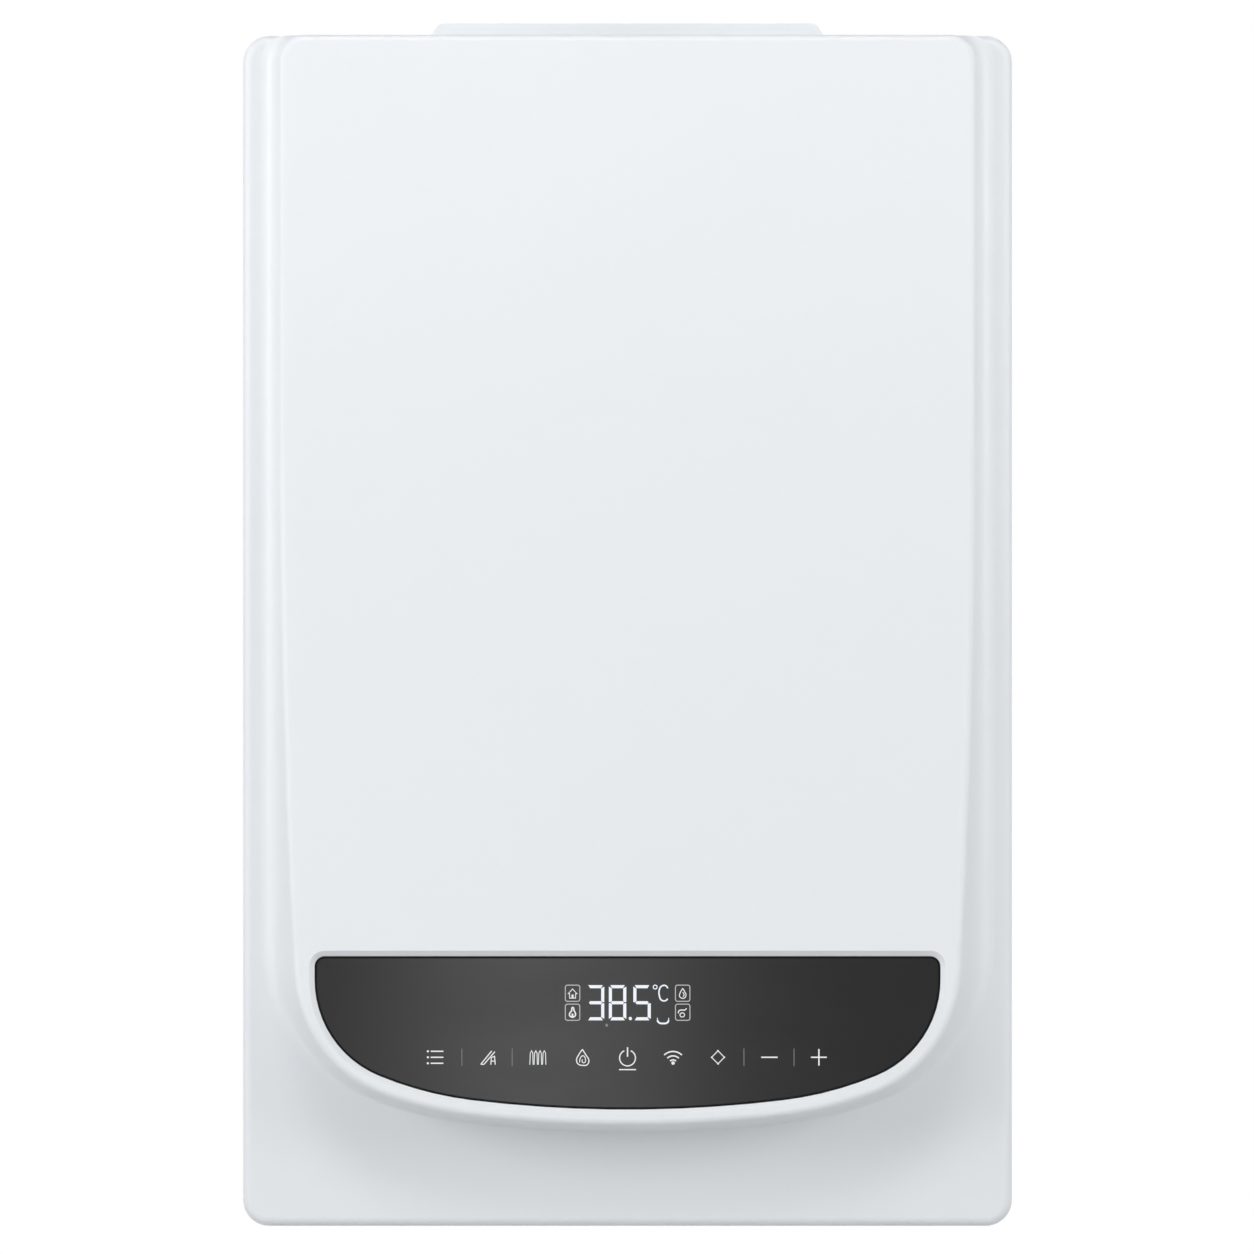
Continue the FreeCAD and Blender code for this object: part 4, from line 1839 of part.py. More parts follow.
def make_cover():
    rear = SEAM - S.seam_gap
    slab = cover_slab("cover_slab", as_size(0), rear)
    loft, root = raised_form("cover_raised", 0.0)
    face = face_cutter("cover_face", 0.0)
    DOC.recompute()
    plain = loft.Shape.cut(face.Shape)
    border = [edge for edge in plain.Edges if panel_border(edge)]
    raised = shaped("cover_panel", plain.makeFillet(S.panel_edge.value, border))
    outside = fuse("cover_outside", slab, raised, root)

    wall = S.cover_wall.value
    hollow_slab = cover_slab("cover_hollow_slab", S.cover_wall, rear + 1)
    loft, root = raised_form("cover_hollow", wall)
    hollow_panel = cut("cover_hollow_panel", loft, face_cutter("cover_hollow_face", wall))
    skin_root = box(
        "cover_hollow_root", (-HALF + S.flank_foot + S.case_corner, HALF - S.flank_foot - S.case_corner),
        (-S.base_depth - 1, -S.base_depth + S.cover_wall + 1),
        (CONSOLE_Z, TOP - S.cover_wall - S.case_corner)
    )
    hollow = fuse("cover_hollow_whole", hollow_slab, hollow_panel, root, skin_root)
    shell = cut("cover_shell", outside, hollow)

    bevel = DOC.addObject("Part::Loft", "cover_bevel")
    bevel.Sections = [
        shaped("cover_bevel_foot", glass_wire(S.glass_gap.value, S.glass_depth.value)),
        shaped("cover_bevel_face", glass_wire(S.bevel_width.value + 0.2, -0.15)),
    ]
    bevel.Solid = True
    bevel.Ruled = True
    window = glass_plate("cover_window", S.glass_gap, 0, S.cover_wall * 2)
    heads = []
    screws = []
    for side, word in ((-1, "left"), (1, "right")):
        x = side * S.cover_screw_x
        y = SEAM - S.screw_tab / 2 - S.screw_nose
        heads.append(taper(
            f"cover_sink_{word}", S.screw_head + S.sink_gap, S.screw_shank + S.sink_gap, (x, y, BOTTOM),
            S.cover_wall
        ))
        head = taper(f"screw_cone_{word}", S.screw_head, S.screw_shank, (x, y, BOTTOM), S.cover_wall)
        shank = rod(f"screw_shank_{word}", S.screw_shank, (x, y, BOTTOM), S.cover_wall + S.screw_reach)
        washer_z = BOTTOM + S.cover_wall + S.screw_slot_gap + S.sheet + S.washer_gap
        washer = rod(f"screw_washer_{word}", S.screw_head + S.washer_lip, (x, y, washer_z), S.washer_thick)
        screws.append(fuse(f"cover_screw_{word}", head, shank, washer))
    piece("front_cover", cut("cover_final", shell, bevel, window, *heads))
    piece("cover_screws", group("cover_screws_group", *screws))

    blocks = []
    inner = HALF - S.cover_wall
    thick = S.catch_block
    for number, (x, z) in enumerate(catch_points()):
        reach = (x - 9, inner) if x.value > 0 else (-inner, x + 9)
        block_rear = SEAM - S.seal_thick - 3
        block = box(
            f"catch_block_{number}", reach, (block_rear - thick, block_rear),
            (z - thick / 2, z + thick / 2)
        )
        pin = rod(f"catch_pin_{number}", S.catch_pin, (x, block_rear, z), S.seal_thick + 3 + 4, "+y")
        blocks.append(fuse(f"catch_{number}", block, pin))
    piece("cover_catches", group("catches_group", *blocks))

    piece("control_glass", glass_plate("glass_final", 0, S.glass_depth, S.glass_thick))
    skin = S.cover_wall * math.cos(TILT)
    outer = glass_plate("housing_outer", S.housing_rim, skin, S.housing_depth)
    glass_seat = glass_plate("housing_seat", S.glass_gap, S.glass_depth - 1, S.glass_thick + 1)
    space_top = S.glass_depth + S.glass_thick - 0.5
    space = glass_plate(
        "housing_space", -S.glass_ledge, space_top, skin + S.housing_depth - S.housing_wall - space_top
    )
    posts = []
    floor = skin + S.housing_depth - S.housing_wall
    board_top = floor - S.stud_height - S.board_thick
    spot = console_point(board_top.value + S.board_thick.value)
    inward = Vector(0, math.cos(TILT), -math.sin(TILT))
    wide = GLASS_HALF - S.stud_inset.value
    low = S.stud_low.value
    high = -S.stud_high.value
    sunk = S.stud_height.value + S.housing_wall.value / 4
    for number, (across, up) in enumerate(((-wide, high), (wide, high), (-low, -low), (low, -low))):
        post = Part.makeCylinder(S.stud_radius.value, sunk, spot(across, up), inward)
        posts.append(shaped(f"housing_post_{number}", post))
    piece("control_housing", fuse("housing_final", cut("housing_shell", outer, glass_seat, space), *posts))
    board = glass_plate("display_board_plate", -S.glass_ledge - S.board_gap, board_top, S.board_thick)
    piece("display_board", board)


def check_and_write():
    """Stop at the first faulty object, then write each piece's file."""
    DOC.recompute()
    for thing in DOC.Objects:
        if "Invalid" in thing.State or "Error" in thing.State:
            raise RuntimeError(f"{thing.Name} is faulty: {thing.State}")
    os.makedirs("parts", exist_ok=True)
    for thing in PIECES:
        shape = thing.Shape
        if shape.isNull() or not shape.isValid():
            raise RuntimeError(f"{thing.Label} has no valid shape")
        shape.exportStep(f"parts/{thing.Label}.step")
        print(thing.Label, len(shape.Solids), round(shape.Volume / 1000, 2))


make_back_panel()
make_casing()
FLUE_SCREWS = make_flue()
make_fan()
make_exchanger()
make_chamber(FLUE_SCREWS)
make_burner()
make_gas()
make_water()
make_control()
make_cover()
check_and_write()
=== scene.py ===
# %% [markdown]
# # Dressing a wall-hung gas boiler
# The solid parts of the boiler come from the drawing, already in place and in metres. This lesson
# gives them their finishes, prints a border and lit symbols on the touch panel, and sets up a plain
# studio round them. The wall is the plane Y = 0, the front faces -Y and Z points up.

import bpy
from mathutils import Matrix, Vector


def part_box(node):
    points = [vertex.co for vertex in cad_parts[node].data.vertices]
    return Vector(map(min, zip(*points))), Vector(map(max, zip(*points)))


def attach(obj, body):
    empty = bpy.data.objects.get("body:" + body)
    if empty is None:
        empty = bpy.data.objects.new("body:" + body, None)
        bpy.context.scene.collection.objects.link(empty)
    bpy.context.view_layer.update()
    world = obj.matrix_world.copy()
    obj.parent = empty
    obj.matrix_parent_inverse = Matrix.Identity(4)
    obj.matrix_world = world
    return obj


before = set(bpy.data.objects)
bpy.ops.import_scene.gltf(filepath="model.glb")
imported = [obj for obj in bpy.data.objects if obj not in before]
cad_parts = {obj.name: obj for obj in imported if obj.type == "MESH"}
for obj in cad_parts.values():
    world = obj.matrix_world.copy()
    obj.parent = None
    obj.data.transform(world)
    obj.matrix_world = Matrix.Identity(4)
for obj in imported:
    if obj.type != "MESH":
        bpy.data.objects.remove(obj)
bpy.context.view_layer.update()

# %% Modules and the millimetre
import math
from collections import namedtuple

import bmesh
import bpy
from mathutils import Matrix, Vector

MM = 0.001
print("Blender", bpy.app.version_string, "- one millimetre is", MM, "m")

# %% [markdown]
# ## Shader sums in plain Python
# A finish is a small network of nodes. It could be wired by hand, with a line for every node and
# every link, but a sum of three terms then takes ten lines and nobody sees the sum in them. So one
# class wraps an output socket: adding, multiplying or comparing wires adds the Math node for us, and
# each operator has its reflected form, so that 1 - wire works too. Every other node comes from one
# method, which sets the node's own settings first and then fills or links its sockets.


# %% A wire that can be reckoned with
class Wire:
    """An output socket of a network; sums, products and comparisons of wires add Math nodes."""

    def __init__(self, network, socket):
        self.network = network
        self.socket = socket

    def reckon(self, operation, first, second):
        return self.network.add("ShaderNodeMath", {"operation": operation}, {0: first, 1: second})

    def __add__(self, other):
        return self.reckon("ADD", self, other)

    def __sub__(self, other):
        return self.reckon("SUBTRACT", self, other)

    def __rsub__(self, other):
        return self.reckon("SUBTRACT", other, self)

    def __mul__(self, other):
        return self.reckon("MULTIPLY", self, other)

    def __lt__(self, other):
        return self.reckon("LESS_THAN", self, other)

    def __gt__(self, other):
        """The reflected form of less-than."""
        return self.reckon("GREATER_THAN", self, other)

    def or_higher(self, other):
        return self.reckon("MAXIMUM", self, other)

    __radd__ = __add__
    __rmul__ = __mul__


# %% A network and the one way to add to it
class Network:
    """The nodes of a material or of the background."""

    def __init__(self, owner):
        owner.use_nodes = True
        self.tree = owner.node_tree
        self.tree.nodes.clear()

    def add(self, kind, settings=None, inputs=None, out=0):
        """Add a node, set it up, fill or link its sockets and return one of its outputs."""
        node = self.tree.nodes.new(kind)
        for name, value in (settings or {}).items():
            setattr(node, name, value)
        for name, value in (inputs or {}).items():
            self.fill(node.inputs[name], value)
        return Wire(self, node.outputs[out]) if node.outputs else None

    def fill(self, socket, value):
        """Link a wire to a socket, or set the socket's own value."""
        if isinstance(value, Wire):
            self.tree.links.new(value.socket, socket)
        else:
            socket.default_value = value


# %% A finish under construction
class Finish(Network):
    """A material with one shader, placed by the part's own coordinates."""

    def __init__(self, name, **sockets):
        self.material = bpy.data.materials.new(name)
        super().__init__(self.material)
        self.place = self.add("ShaderNodeTexCoord", out="Object")
        self.surface = self.add("ShaderNodeBsdfPrincipled")
        self.set(**sockets)
        self.add("ShaderNodeOutputMaterial", inputs={"Surface": self.surface})

    def set(self, **sockets):
        """Fill or link sockets of the shader; an underscore stands for a space."""
        for name, value in sockets.items():
            self.fill(self.surface.socket.node.inputs[name.replace("_", " ")], value)

    def noise(self, scale, detail=3.0, stretch=None):
        """Soft random cloud from 0 to 1, its scale in cycles per metre."""
        spot = self.place
        if stretch:
            spot = self.add("ShaderNodeMapping", inputs={"Vector": spot, "Scale": stretch})
        return self.add("ShaderNodeTexNoise", inputs={
            "Vector": spot, "Scale": scale, "Detail": detail,
        })

    def blend(self, share, first, second):
        """Two colours mixed by a share from 0 to 1."""
        colours = {"Factor": share, 6: first, 7: second}
        return self.add("ShaderNodeMix", {"data_type": "RGBA"}, colours, out=2)

    def bump(self, height, strength, depth):
        """Small dents from a height; depth in metres."""
        self.set(Normal=self.add("ShaderNodeBump", inputs={
            "Strength": strength, "Distance": depth, "Height": height,
        }))

    def along(self, letter):
        """One coordinate of the surface, in metres."""
        return self.add("ShaderNodeSeparateXYZ", inputs={"Vector": self.place}, out=letter)


# %% Colours picked on screen
def srgb(red, green, blue):
    """A colour picked on screen, from 0 to 255, as the linear values that shaders expect."""
    def straight(level):
        level /= 255
        return level / 12.92 if level <= 0.04045 else ((level + 0.055) / 1.055) ** 2.4
    return straight(red), straight(green), straight(blue), 1.0


print("half grey on screen is", round(srgb(128, 128, 128)[0], 3), "of the light of white")

# %% [markdown]
# ## White powder coat
# The cover and the casing are steel sheet with a baked powder coat: almost even white, a satin gloss
# and a faint orange peel that only shows where the light grazes it. The peel could be modelled in the
# mesh, but it is a fraction of a millimetre deep, so a fine noise that drives the bump looks the same
# and costs no faces. A very broad noise drifts the white a little, as a sprayed coat does.

# %% White powder coat
COAT_SHINE = 0.32
COAT_DRIFT = 4.0
COAT_MOTTLE = 260.0
COAT_PEEL = 900.0
FINE_DENT = 0.2 * MM


def powder_coat(name, colour, shade, gloss, peel):
    finish = Finish(name, Specular_IOR_Level=COAT_SHINE)
    drift = finish.noise(COAT_DRIFT, 2.0)
    mottle = finish.noise(COAT_MOTTLE, 2.0)
    finish.set(
        Base_Color=finish.blend(drift, colour, shade),
        Roughness=gloss + 0.06 * mottle,
    )
    finish.bump(finish.noise(COAT_PEEL, 1.0), peel, FINE_DENT)
    return finish.material


COVER_WHITE = powder_coat("cover_white", srgb(238, 241, 243), srgb(235, 238, 241), 0.36, 0.05)
# A touch whiter than the cover: painted light for the hanging flange, which the lamps reach less.
CASING_WHITE = powder_coat("casing_white", srgb(240, 243, 245), srgb(236, 239, 242), 0.40, 0.08)
print("white coats:", COVER_WHITE.name, CASING_WHITE.name)

# %% [markdown]
# ## Sheet steel and cast metal
# Behind the cover most parts are bare metal. Zinc-coated sheet shows patches of crystals. They could
# come from a picture, but a picture needs every part laid out flat, while a Voronoi pattern fills
# space and fits them all: each cell shifts the colour and the gloss. Copper and stainless steel are
# rolled or drawn and have fine lines along one direction: the same noise as before, squeezed along
# two axes. Castings get a coarse grain.

# %% Zinc-coated sheet
ZINC_GRAIN = 700.0


def zinc_sheet(name, colour, dark, patch):
    finish = Finish(name, Metallic=1.0)
    crystals = {"Vector": finish.place, "Scale": patch}
    cells = finish.add("ShaderNodeTexVoronoi", inputs=crystals, out="Color")
    grey = finish.add("ShaderNodeRGBToBW", inputs={"Color": cells})
    grain = finish.noise(ZINC_GRAIN)
    finish.set(
        Base_Color=finish.blend(grey, dark, colour),
        Roughness=0.34 + 0.16 * grey + 0.06 * grain,
    )
    finish.bump(grain, 0.05, FINE_DENT)
    return finish.material


ZINC = zinc_sheet("zinc_sheet", (0.66, 0.67, 0.68, 1), (0.52, 0.53, 0.55, 1), 95.0)
BOLT_ZINC = zinc_sheet("bolt_zinc", (0.62, 0.61, 0.57, 1), (0.50, 0.49, 0.46, 1), 400.0)
print("zinc:", ZINC.name, BOLT_ZINC.name)

# %% Rolled sheet
ROLLED_LINES = 60.0
ROLLED_TARNISH = 35.0


def rolled_metal(name, colour, dark, squeeze, gloss):
    finish = Finish(name, Metallic=1.0)
    streak = finish.noise(ROLLED_LINES, 4.0, squeeze)
    tarnish = finish.noise(ROLLED_TARNISH)
    finish.set(
        Base_Color=finish.blend(0.6 * streak + 0.4 * tarnish, dark, colour),
        Roughness=gloss + 0.18 * tarnish,
    )
    finish.bump(streak, 0.06, FINE_DENT)
    return finish.material


STAINLESS = rolled_metal(
    "stainless", (0.66, 0.66, 0.67, 1), (0.50, 0.50, 0.51, 1), (1, 30, 30), 0.22)
COPPER = rolled_metal(
    "copper", (0.80, 0.42, 0.27, 1), (0.52, 0.24, 0.14, 1), (1, 12, 12), 0.24)
print("rolled:", STAINLESS.name, COPPER.name)

# %% Painted casting
CAST_GRAIN = 420.0
CAST_STAIN = 30.0
CAST_DENT = 0.4 * MM


def painted_casting(name, colour, dark, gloss):
    finish = Finish(name)
    grain = finish.noise(CAST_GRAIN, 4.0)
    stain = finish.noise(CAST_STAIN)
    finish.set(
        Base_Color=finish.blend(0.5 * grain + 0.5 * stain, dark, colour),
        Roughness=gloss + 0.15 * grain,
    )
    finish.bump(grain, 0.22, CAST_DENT)
    return finish.material


PUMP_PAINT = painted_casting(
    "pump_paint", (0.060, 0.064, 0.072, 1), (0.040, 0.042, 0.048, 1), 0.36)
print("painted casting:", PUMP_PAINT.name)

# %% [markdown]
# ## Steel braid
# The hose of the expansion vessel is covered with a braid of fine steel wires. Real wires in the mesh
# would take more faces than the rest of the boiler, and from a step away nobody tells them apart. So
# the finish weaves them: two sets of slanting waves, one leaning each way, cross each other, and
# where either is high a wire lies on top. Where both are low, between the wires, the colour is
# darker: painted shade.

# %% Steel braid
BRAID_WAVE = 2200.0
BRAID_DENT = 0.6 * MM


def braid(name):
    finish = Finish(name, Metallic=1.0)
    rise = finish.along("Z") * BRAID_WAVE
    round_it = (finish.along("X") + finish.along("Y")) * BRAID_WAVE
    one_way = finish.add("ShaderNodeMath", {"operation": "SINE"}, {0: rise + round_it})
    other_way = finish.add("ShaderNodeMath", {"operation": "SINE"}, {0: rise - round_it})
    weave_and_gap_shade = 0.5 + 0.5 * one_way.or_higher(other_way)
    finish.set(
        # The low parts of the weave get a dark colour: painted shade between the wires.
        Base_Color=finish.blend(weave_and_gap_shade, (0.20, 0.20, 0.21, 1), (0.66, 0.66, 0.67, 1)),
        Roughness=0.30 + 0.14 * finish.noise(120.0),
    )
    finish.bump(weave_and_gap_shade, 0.6, BRAID_DENT)
    return finish.material


BRAID = braid("steel_braid")
print("braid:", BRAID.name)

# %% [markdown]
# ## Brass with its pipe threads
# The connections under the boiler carry pipe threads. Cut as a helix they would be heavy and slow to
# draw, so the drawing leaves plain cylinders at the thread's outer radius, and the finish cuts the
# grooves: a saw wave along Z, at the thread's real pitch, only up to the height where threads end.

# %% Brass
THREAD_PITCH = 1.814 * MM
THREAD_LONG = 24 * MM
THREAD_DENT = 0.9 * MM
THREAD_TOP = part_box("gas_inlet_pipe")[0].z + THREAD_LONG


def brass(name):
    finish = Finish(name, Metallic=1.0)
    tarnish = finish.noise(45.0, 4.0)
    lathe = finish.noise(50.0, 3.0, (1, 1, 40))
    height = finish.along("Z")
    half_turn = {0: height, 1: THREAD_PITCH / 2}
    turn = finish.add("ShaderNodeMath", {"operation": "PINGPONG"}, half_turn)
    groove = turn * (2 / THREAD_PITCH) * (height < THREAD_TOP)
    finish.set(
        Base_Color=finish.blend(tarnish, (0.50, 0.35, 0.14, 1), (0.80, 0.62, 0.31, 1)),
        Roughness=0.22 + 0.16 * tarnish,
    )
    finish.bump(groove + 0.05 * lathe, 0.7, THREAD_DENT)
    return finish.material


BRASS = brass("brass")
print("thread pitch", round(THREAD_PITCH / MM, 3), "mm up to z", round(THREAD_TOP, 4))

# %% [markdown]
# ## Moulded plastic, rubber and paint
# Housings and knobs are moulded: a spark-eroded mould leaves a fine even grain, and handling polishes
# it in places. Rubber and foam are duller with a coarser grain, and the red expansion vessel is
# sprayed gloss paint. Each could have a function of its own, but they differ only in colour, gloss
# and grain, so one function with a few numbers makes them all.

# %% Plastic, rubber and gloss paint
MOULD_GRAIN = 1200.0
WORN_PATCHES = 25.0


def moulded(name, colour, gloss, grain_scale=MOULD_GRAIN, grain=0.12):
    finish = Finish(name)
    fine = finish.noise(grain_scale, 1.0)
    worn = finish.noise(WORN_PATCHES)
    light = tuple(min(1.0, level * 1.12 + 0.004) for level in colour[:3]) + (1.0,)
    finish.set(
        Base_Color=finish.blend(0.5 * worn + 0.3 * fine, colour, light),
        Roughness=gloss + 0.12 * worn,
    )
    finish.bump(fine, grain, FINE_DENT)
    return finish.material


BLACK = moulded("black_plastic", srgb(38, 39, 41), 0.42)
GREY = moulded("grey_plastic", srgb(176, 178, 181), 0.45)
RED_KNOB = moulded("red_knob", srgb(176, 32, 26), 0.34)
BLUE_KNOB = moulded("blue_knob", srgb(34, 84, 152), 0.34)
RUBBER = moulded("foam_rubber", srgb(40, 40, 40), 0.75, 500.0, 0.5)
CLEAR_TUBE = moulded("silicone_tube", srgb(214, 212, 200), 0.30, 300.0, 0.05)
RED_LEAD = moulded("silicone_lead", srgb(150, 46, 34), 0.40, 300.0, 0.05)
VESSEL_RED = moulded("vessel_red", srgb(184, 40, 32), 0.22, 600.0, 0.04)
FIBRE = moulded("fibre_board", srgb(226, 220, 204), 0.85, 300.0, 0.8)
DISPLAY_BOARD = moulded("display_board", srgb(34, 104, 62), 0.35, 500.0, 0.1)
print("moulded:", BLACK.name, GREY.name, RUBBER.name, FIBRE.name, "and the coloured ones")

# %% [markdown]
# ## Parts of two stuffs
# A few solids hold two stuffs in one piece: a motor's copper coil in its steel core, the black coils
# on the gas valve, ceramic sleeves on steel pins, chips on a green board. Each face could be given
# its own material slot, but the drawn meshes are left as they are. Each stuff starts at a known depth
# from the wall, so a step on that coordinate picks its colour, gloss and metal.

# %% Two stuffs in one finish
Stuff = namedtuple("Stuff", "colour roughness metal")
GRIME = (0.02, 0.02, 0.02, 1)


def step_between(mask, first, second):
    """A number that steps from first to second with the mask; plain where both are the same."""
    return first if first == second else first + (second - first) * mask


def two_stuffs(finish, mask, first, second, grain):
    """The mask is 0 on the first stuff and 1 on the second."""
    cloud = finish.noise(grain)
    tint = finish.blend(mask, first.colour, second.colour)
    finish.set(
        Base_Color=finish.blend(0.35 * cloud, tint, GRIME),
        Roughness=step_between(mask, first.roughness, second.roughness) + 0.1 * cloud,
        Metallic=step_between(mask, first.metal, second.metal),
    )
    finish.bump(cloud, 0.1, FINE_DENT)
    return finish.material


def split_by_depth(name, depth, first, second, grain):
    """The second stuff is in front of a depth, that is at a lower Y."""
    finish = Finish(name)
    return two_stuffs(finish, finish.along("Y") < depth, first, second, grain)


# %% Gas valve and circuit board
VALVE_DEEP = 60 * MM
VALVE_SEAM = 0.2 * MM
CAST_ALLOY = Stuff((0.62, 0.63, 0.65, 1), 0.42, 1.0)
COIL_BLACK = Stuff((0.030, 0.030, 0.034, 1), 0.45, 0.0)
COIL_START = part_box("gas_valve")[1].y - VALVE_DEEP
GAS_VALVE = split_by_depth("gas_valve_cast", COIL_START - VALVE_SEAM, CAST_ALLOY, COIL_BLACK, 350.0)

BOARD_THICK = 1.65 * MM
BOARD_GREEN = Stuff((0.030, 0.170, 0.075, 1), 0.35, 0.0)
CHIP_BLACK = Stuff((0.020, 0.020, 0.022, 1), 0.40, 0.0)
CHIP_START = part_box("main_board")[1].y - BOARD_THICK
CIRCUIT = split_by_depth("circuit_board", CHIP_START, BOARD_GREEN, CHIP_BLACK, 500.0)
print("coils start at y", round(COIL_START, 4), "and chips at y", round(CHIP_START, 4))

# %% Electrodes and fan motor
SLEEVE_LONG = 12 * MM
CERAMIC = Stuff((0.82, 0.80, 0.74, 1), 0.25, 0.0)
PIN_STEEL = Stuff((0.55, 0.55, 0.56, 1), 0.30, 1.0)
SLEEVE_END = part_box("chamber_front")[0].y - SLEEVE_LONG
ELECTRODE = split_by_depth("electrode", SLEEVE_END, CERAMIC, PIN_STEEL, 300.0)

COIL_TALL = 24 * MM
COIL_DEEP = 19 * MM
CORE_STEEL = Stuff((0.40, 0.41, 0.43, 1), 0.38, 1.0)
COIL_COPPER = Stuff((0.62, 0.28, 0.12, 1), 0.30, 1.0)


def fan_motor_finish():
    """Steel core with a copper coil low in front of it."""
    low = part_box("fan_motor")[0]
    finish = Finish("fan_motor_core")
    coil = (finish.along("Z") < low.z + COIL_TALL) * (finish.along("Y") < low.y + COIL_DEEP)
    return two_stuffs(finish, coil, CORE_STEEL, COIL_COPPER, 250.0)


FAN_MOTOR = fan_motor_finish()
print("ceramic ends at y", round(SLEEVE_END, 4), "and", FAN_MOTOR.name, "has its copper coil")

# %% [markdown]
# ## Glass
# The control glass is tinted almost black, coated against glare and lightly etched, so it mirrors the
# studio only as a soft glow. The sight glass of the burner chamber is clear. A glass could be mixed
# from a mirror and a dark shader, but the one shader that all finishes share has both in it. Both
# panes drift a little in gloss, as wiped glass does.


# %% Dark and clear glass
def dark_glass():
    finish = Finish("dark_glass", IOR=1.5, Specular_IOR_Level=0.29)
    wiped = finish.noise(14.0, 2.0, (1, 3, 3))
    finish.set(
        Base_Color=finish.blend(wiped, srgb(12, 12, 12), srgb(16, 16, 16)),
        Roughness=0.11 + 0.04 * wiped,
    )
    return finish.material


def clear_glass():
    finish = Finish("clear_glass", IOR=1.47, Transmission_Weight=1.0)
    wiped = finish.noise(40.0)
    finish.set(
        Base_Color=finish.blend(wiped, (0.92, 0.96, 0.94, 1), (0.86, 0.92, 0.89, 1)),
        Roughness=0.02 + 0.06 * wiped,
    )
    return finish.material


DARK_GLASS = dark_glass()
CLEAR_GLASS = clear_glass()
print("glass:", DARK_GLASS.name, CLEAR_GLASS.name)

# %% [markdown]
# ## Giving each part its finish
# Every solid part keeps its shape and only swaps its material. This could be done part by part in
# the editor, but one table shows at a glance which finish goes where, and a change is one word.

# %% Finish of each part
FINISH_OF = {
    "front_cover": COVER_WHITE,
    "casing_wrap": CASING_WHITE,
    "back_panel": CASING_WHITE,
    "bottom_panel": ZINC,
    "front_seal": RUBBER,
    "cable_gland": BLACK,
    "flue_flange": ZINC,
    "flue_hood": ZINC,
    "fan_housing": ZINC,
    "fan_motor": FAN_MOTOR,
    "fan_impeller": ZINC,
    "air_pressure_switch": GREY,
    "pressure_tube": CLEAR_TUBE,
    "exchanger_frame": COPPER,
    "exchanger_fins": COPPER,
    "exchanger_tubes": COPPER,
    "combustion_chamber": ZINC,
    "chamber_front": ZINC,
    "chamber_insulation": FIBRE,
    "sight_glass": CLEAR_GLASS,
    "sheet_screws": BOLT_ZINC,
    "mounting_brackets": ZINC,
    "burner_bars": STAINLESS,
    "burner_frame": ZINC,
    "gas_manifold": ZINC,
    "gas_injectors": BRASS,
    "gas_feed_pipe": STAINLESS,
    "electrodes": ELECTRODE,
    "igniter": BLACK,
    "ignition_lead": RED_LEAD,
    "gas_valve": GAS_VALVE,
    "gas_inlet_pipe": BRASS,
    "flow_block": BRASS,
    "valve_spindle": STAINLESS,
    "valve_actuator": BLACK,
    "return_block": BRASS,
    "plate_exchanger": STAINLESS,
    "hot_outlet": BRASS,
    "flow_sensor": BRASS,
    "flow_turbine": GREY,
    "pump_volute": BLACK,
    "pump_motor": PUMP_PAINT,
    "pump_rotor": STAINLESS,
    "air_vent": BRASS,
    "overheat_thermostat": BOLT_ZINC,
    "water_pipes": COPPER,
    "relief_valve": BRASS,
    "relief_knob": RED_KNOB,
    "filling_valve": BRASS,
    "filling_knob": BLUE_KNOB,
    "expansion_vessel": VESSEL_RED,
    "vessel_hose": BRAID,
    "control_box": GREY,
    "control_lid": GREY,
    "main_board": CIRCUIT,
    "cover_screws": BOLT_ZINC,
    "cover_catches": BLACK,
    "control_glass": DARK_GLASS,
    "control_housing": BLACK,
    "display_board": DISPLAY_BOARD,
}
for node, material in FINISH_OF.items():
    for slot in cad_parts[node].material_slots:
        slot.material = material
print("finished", len(FINISH_OF), "of", len(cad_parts), "parts")

# %% [markdown]
# ## A drawing board on the glass
# The lit symbols lie flat on the control glass, which leans back a little. Each could be placed in
# space by itself, but then the lean hides in every number. So we draw them on a flat board, in
# millimetres across from the middle and down from the glass's upper edge, and one matrix carries the
# board onto the glass. The glass's own box gives its place: its highest point is the upper front
# edge, and its foremost point is the lower front edge.

# %% The board's matrix
GLASS_LEAN = math.radians(7.4)
GLASS_HEIGHT = 86.6 * MM
GLASS_LOW, GLASS_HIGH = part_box("control_glass")
GLASS_TOP = Vector((0, GLASS_LOW.y + GLASS_HEIGHT * math.sin(GLASS_LEAN), GLASS_HIGH.z))
ACROSS = Vector((1, 0, 0))
UPWARD = Vector((0, math.sin(GLASS_LEAN), math.cos(GLASS_LEAN)))
OUTWARD = ACROSS.cross(UPWARD)
TURN = Matrix((ACROSS, UPWARD, OUTWARD)).transposed().to_4x4()
BOARD = Matrix.Translation(GLASS_TOP) @ TURN
print("glass edge at", [round(number, 4) for number in GLASS_TOP])
print("glass faces", [round(number, 3) for number in OUTWARD])

# %% [markdown]
# ## Ribbons
# Every symbol is a few strokes of even width. A curve with a bevel could draw them, but its tube is
# round and stands off the glass. So a stroke starts as one short edge across the line: extruding that
# edge from point to point lays a flat ribbon, and bridging its two ends closes a ring.

# %% Lay a ribbon
SHARPEST_MITRE = 0.5


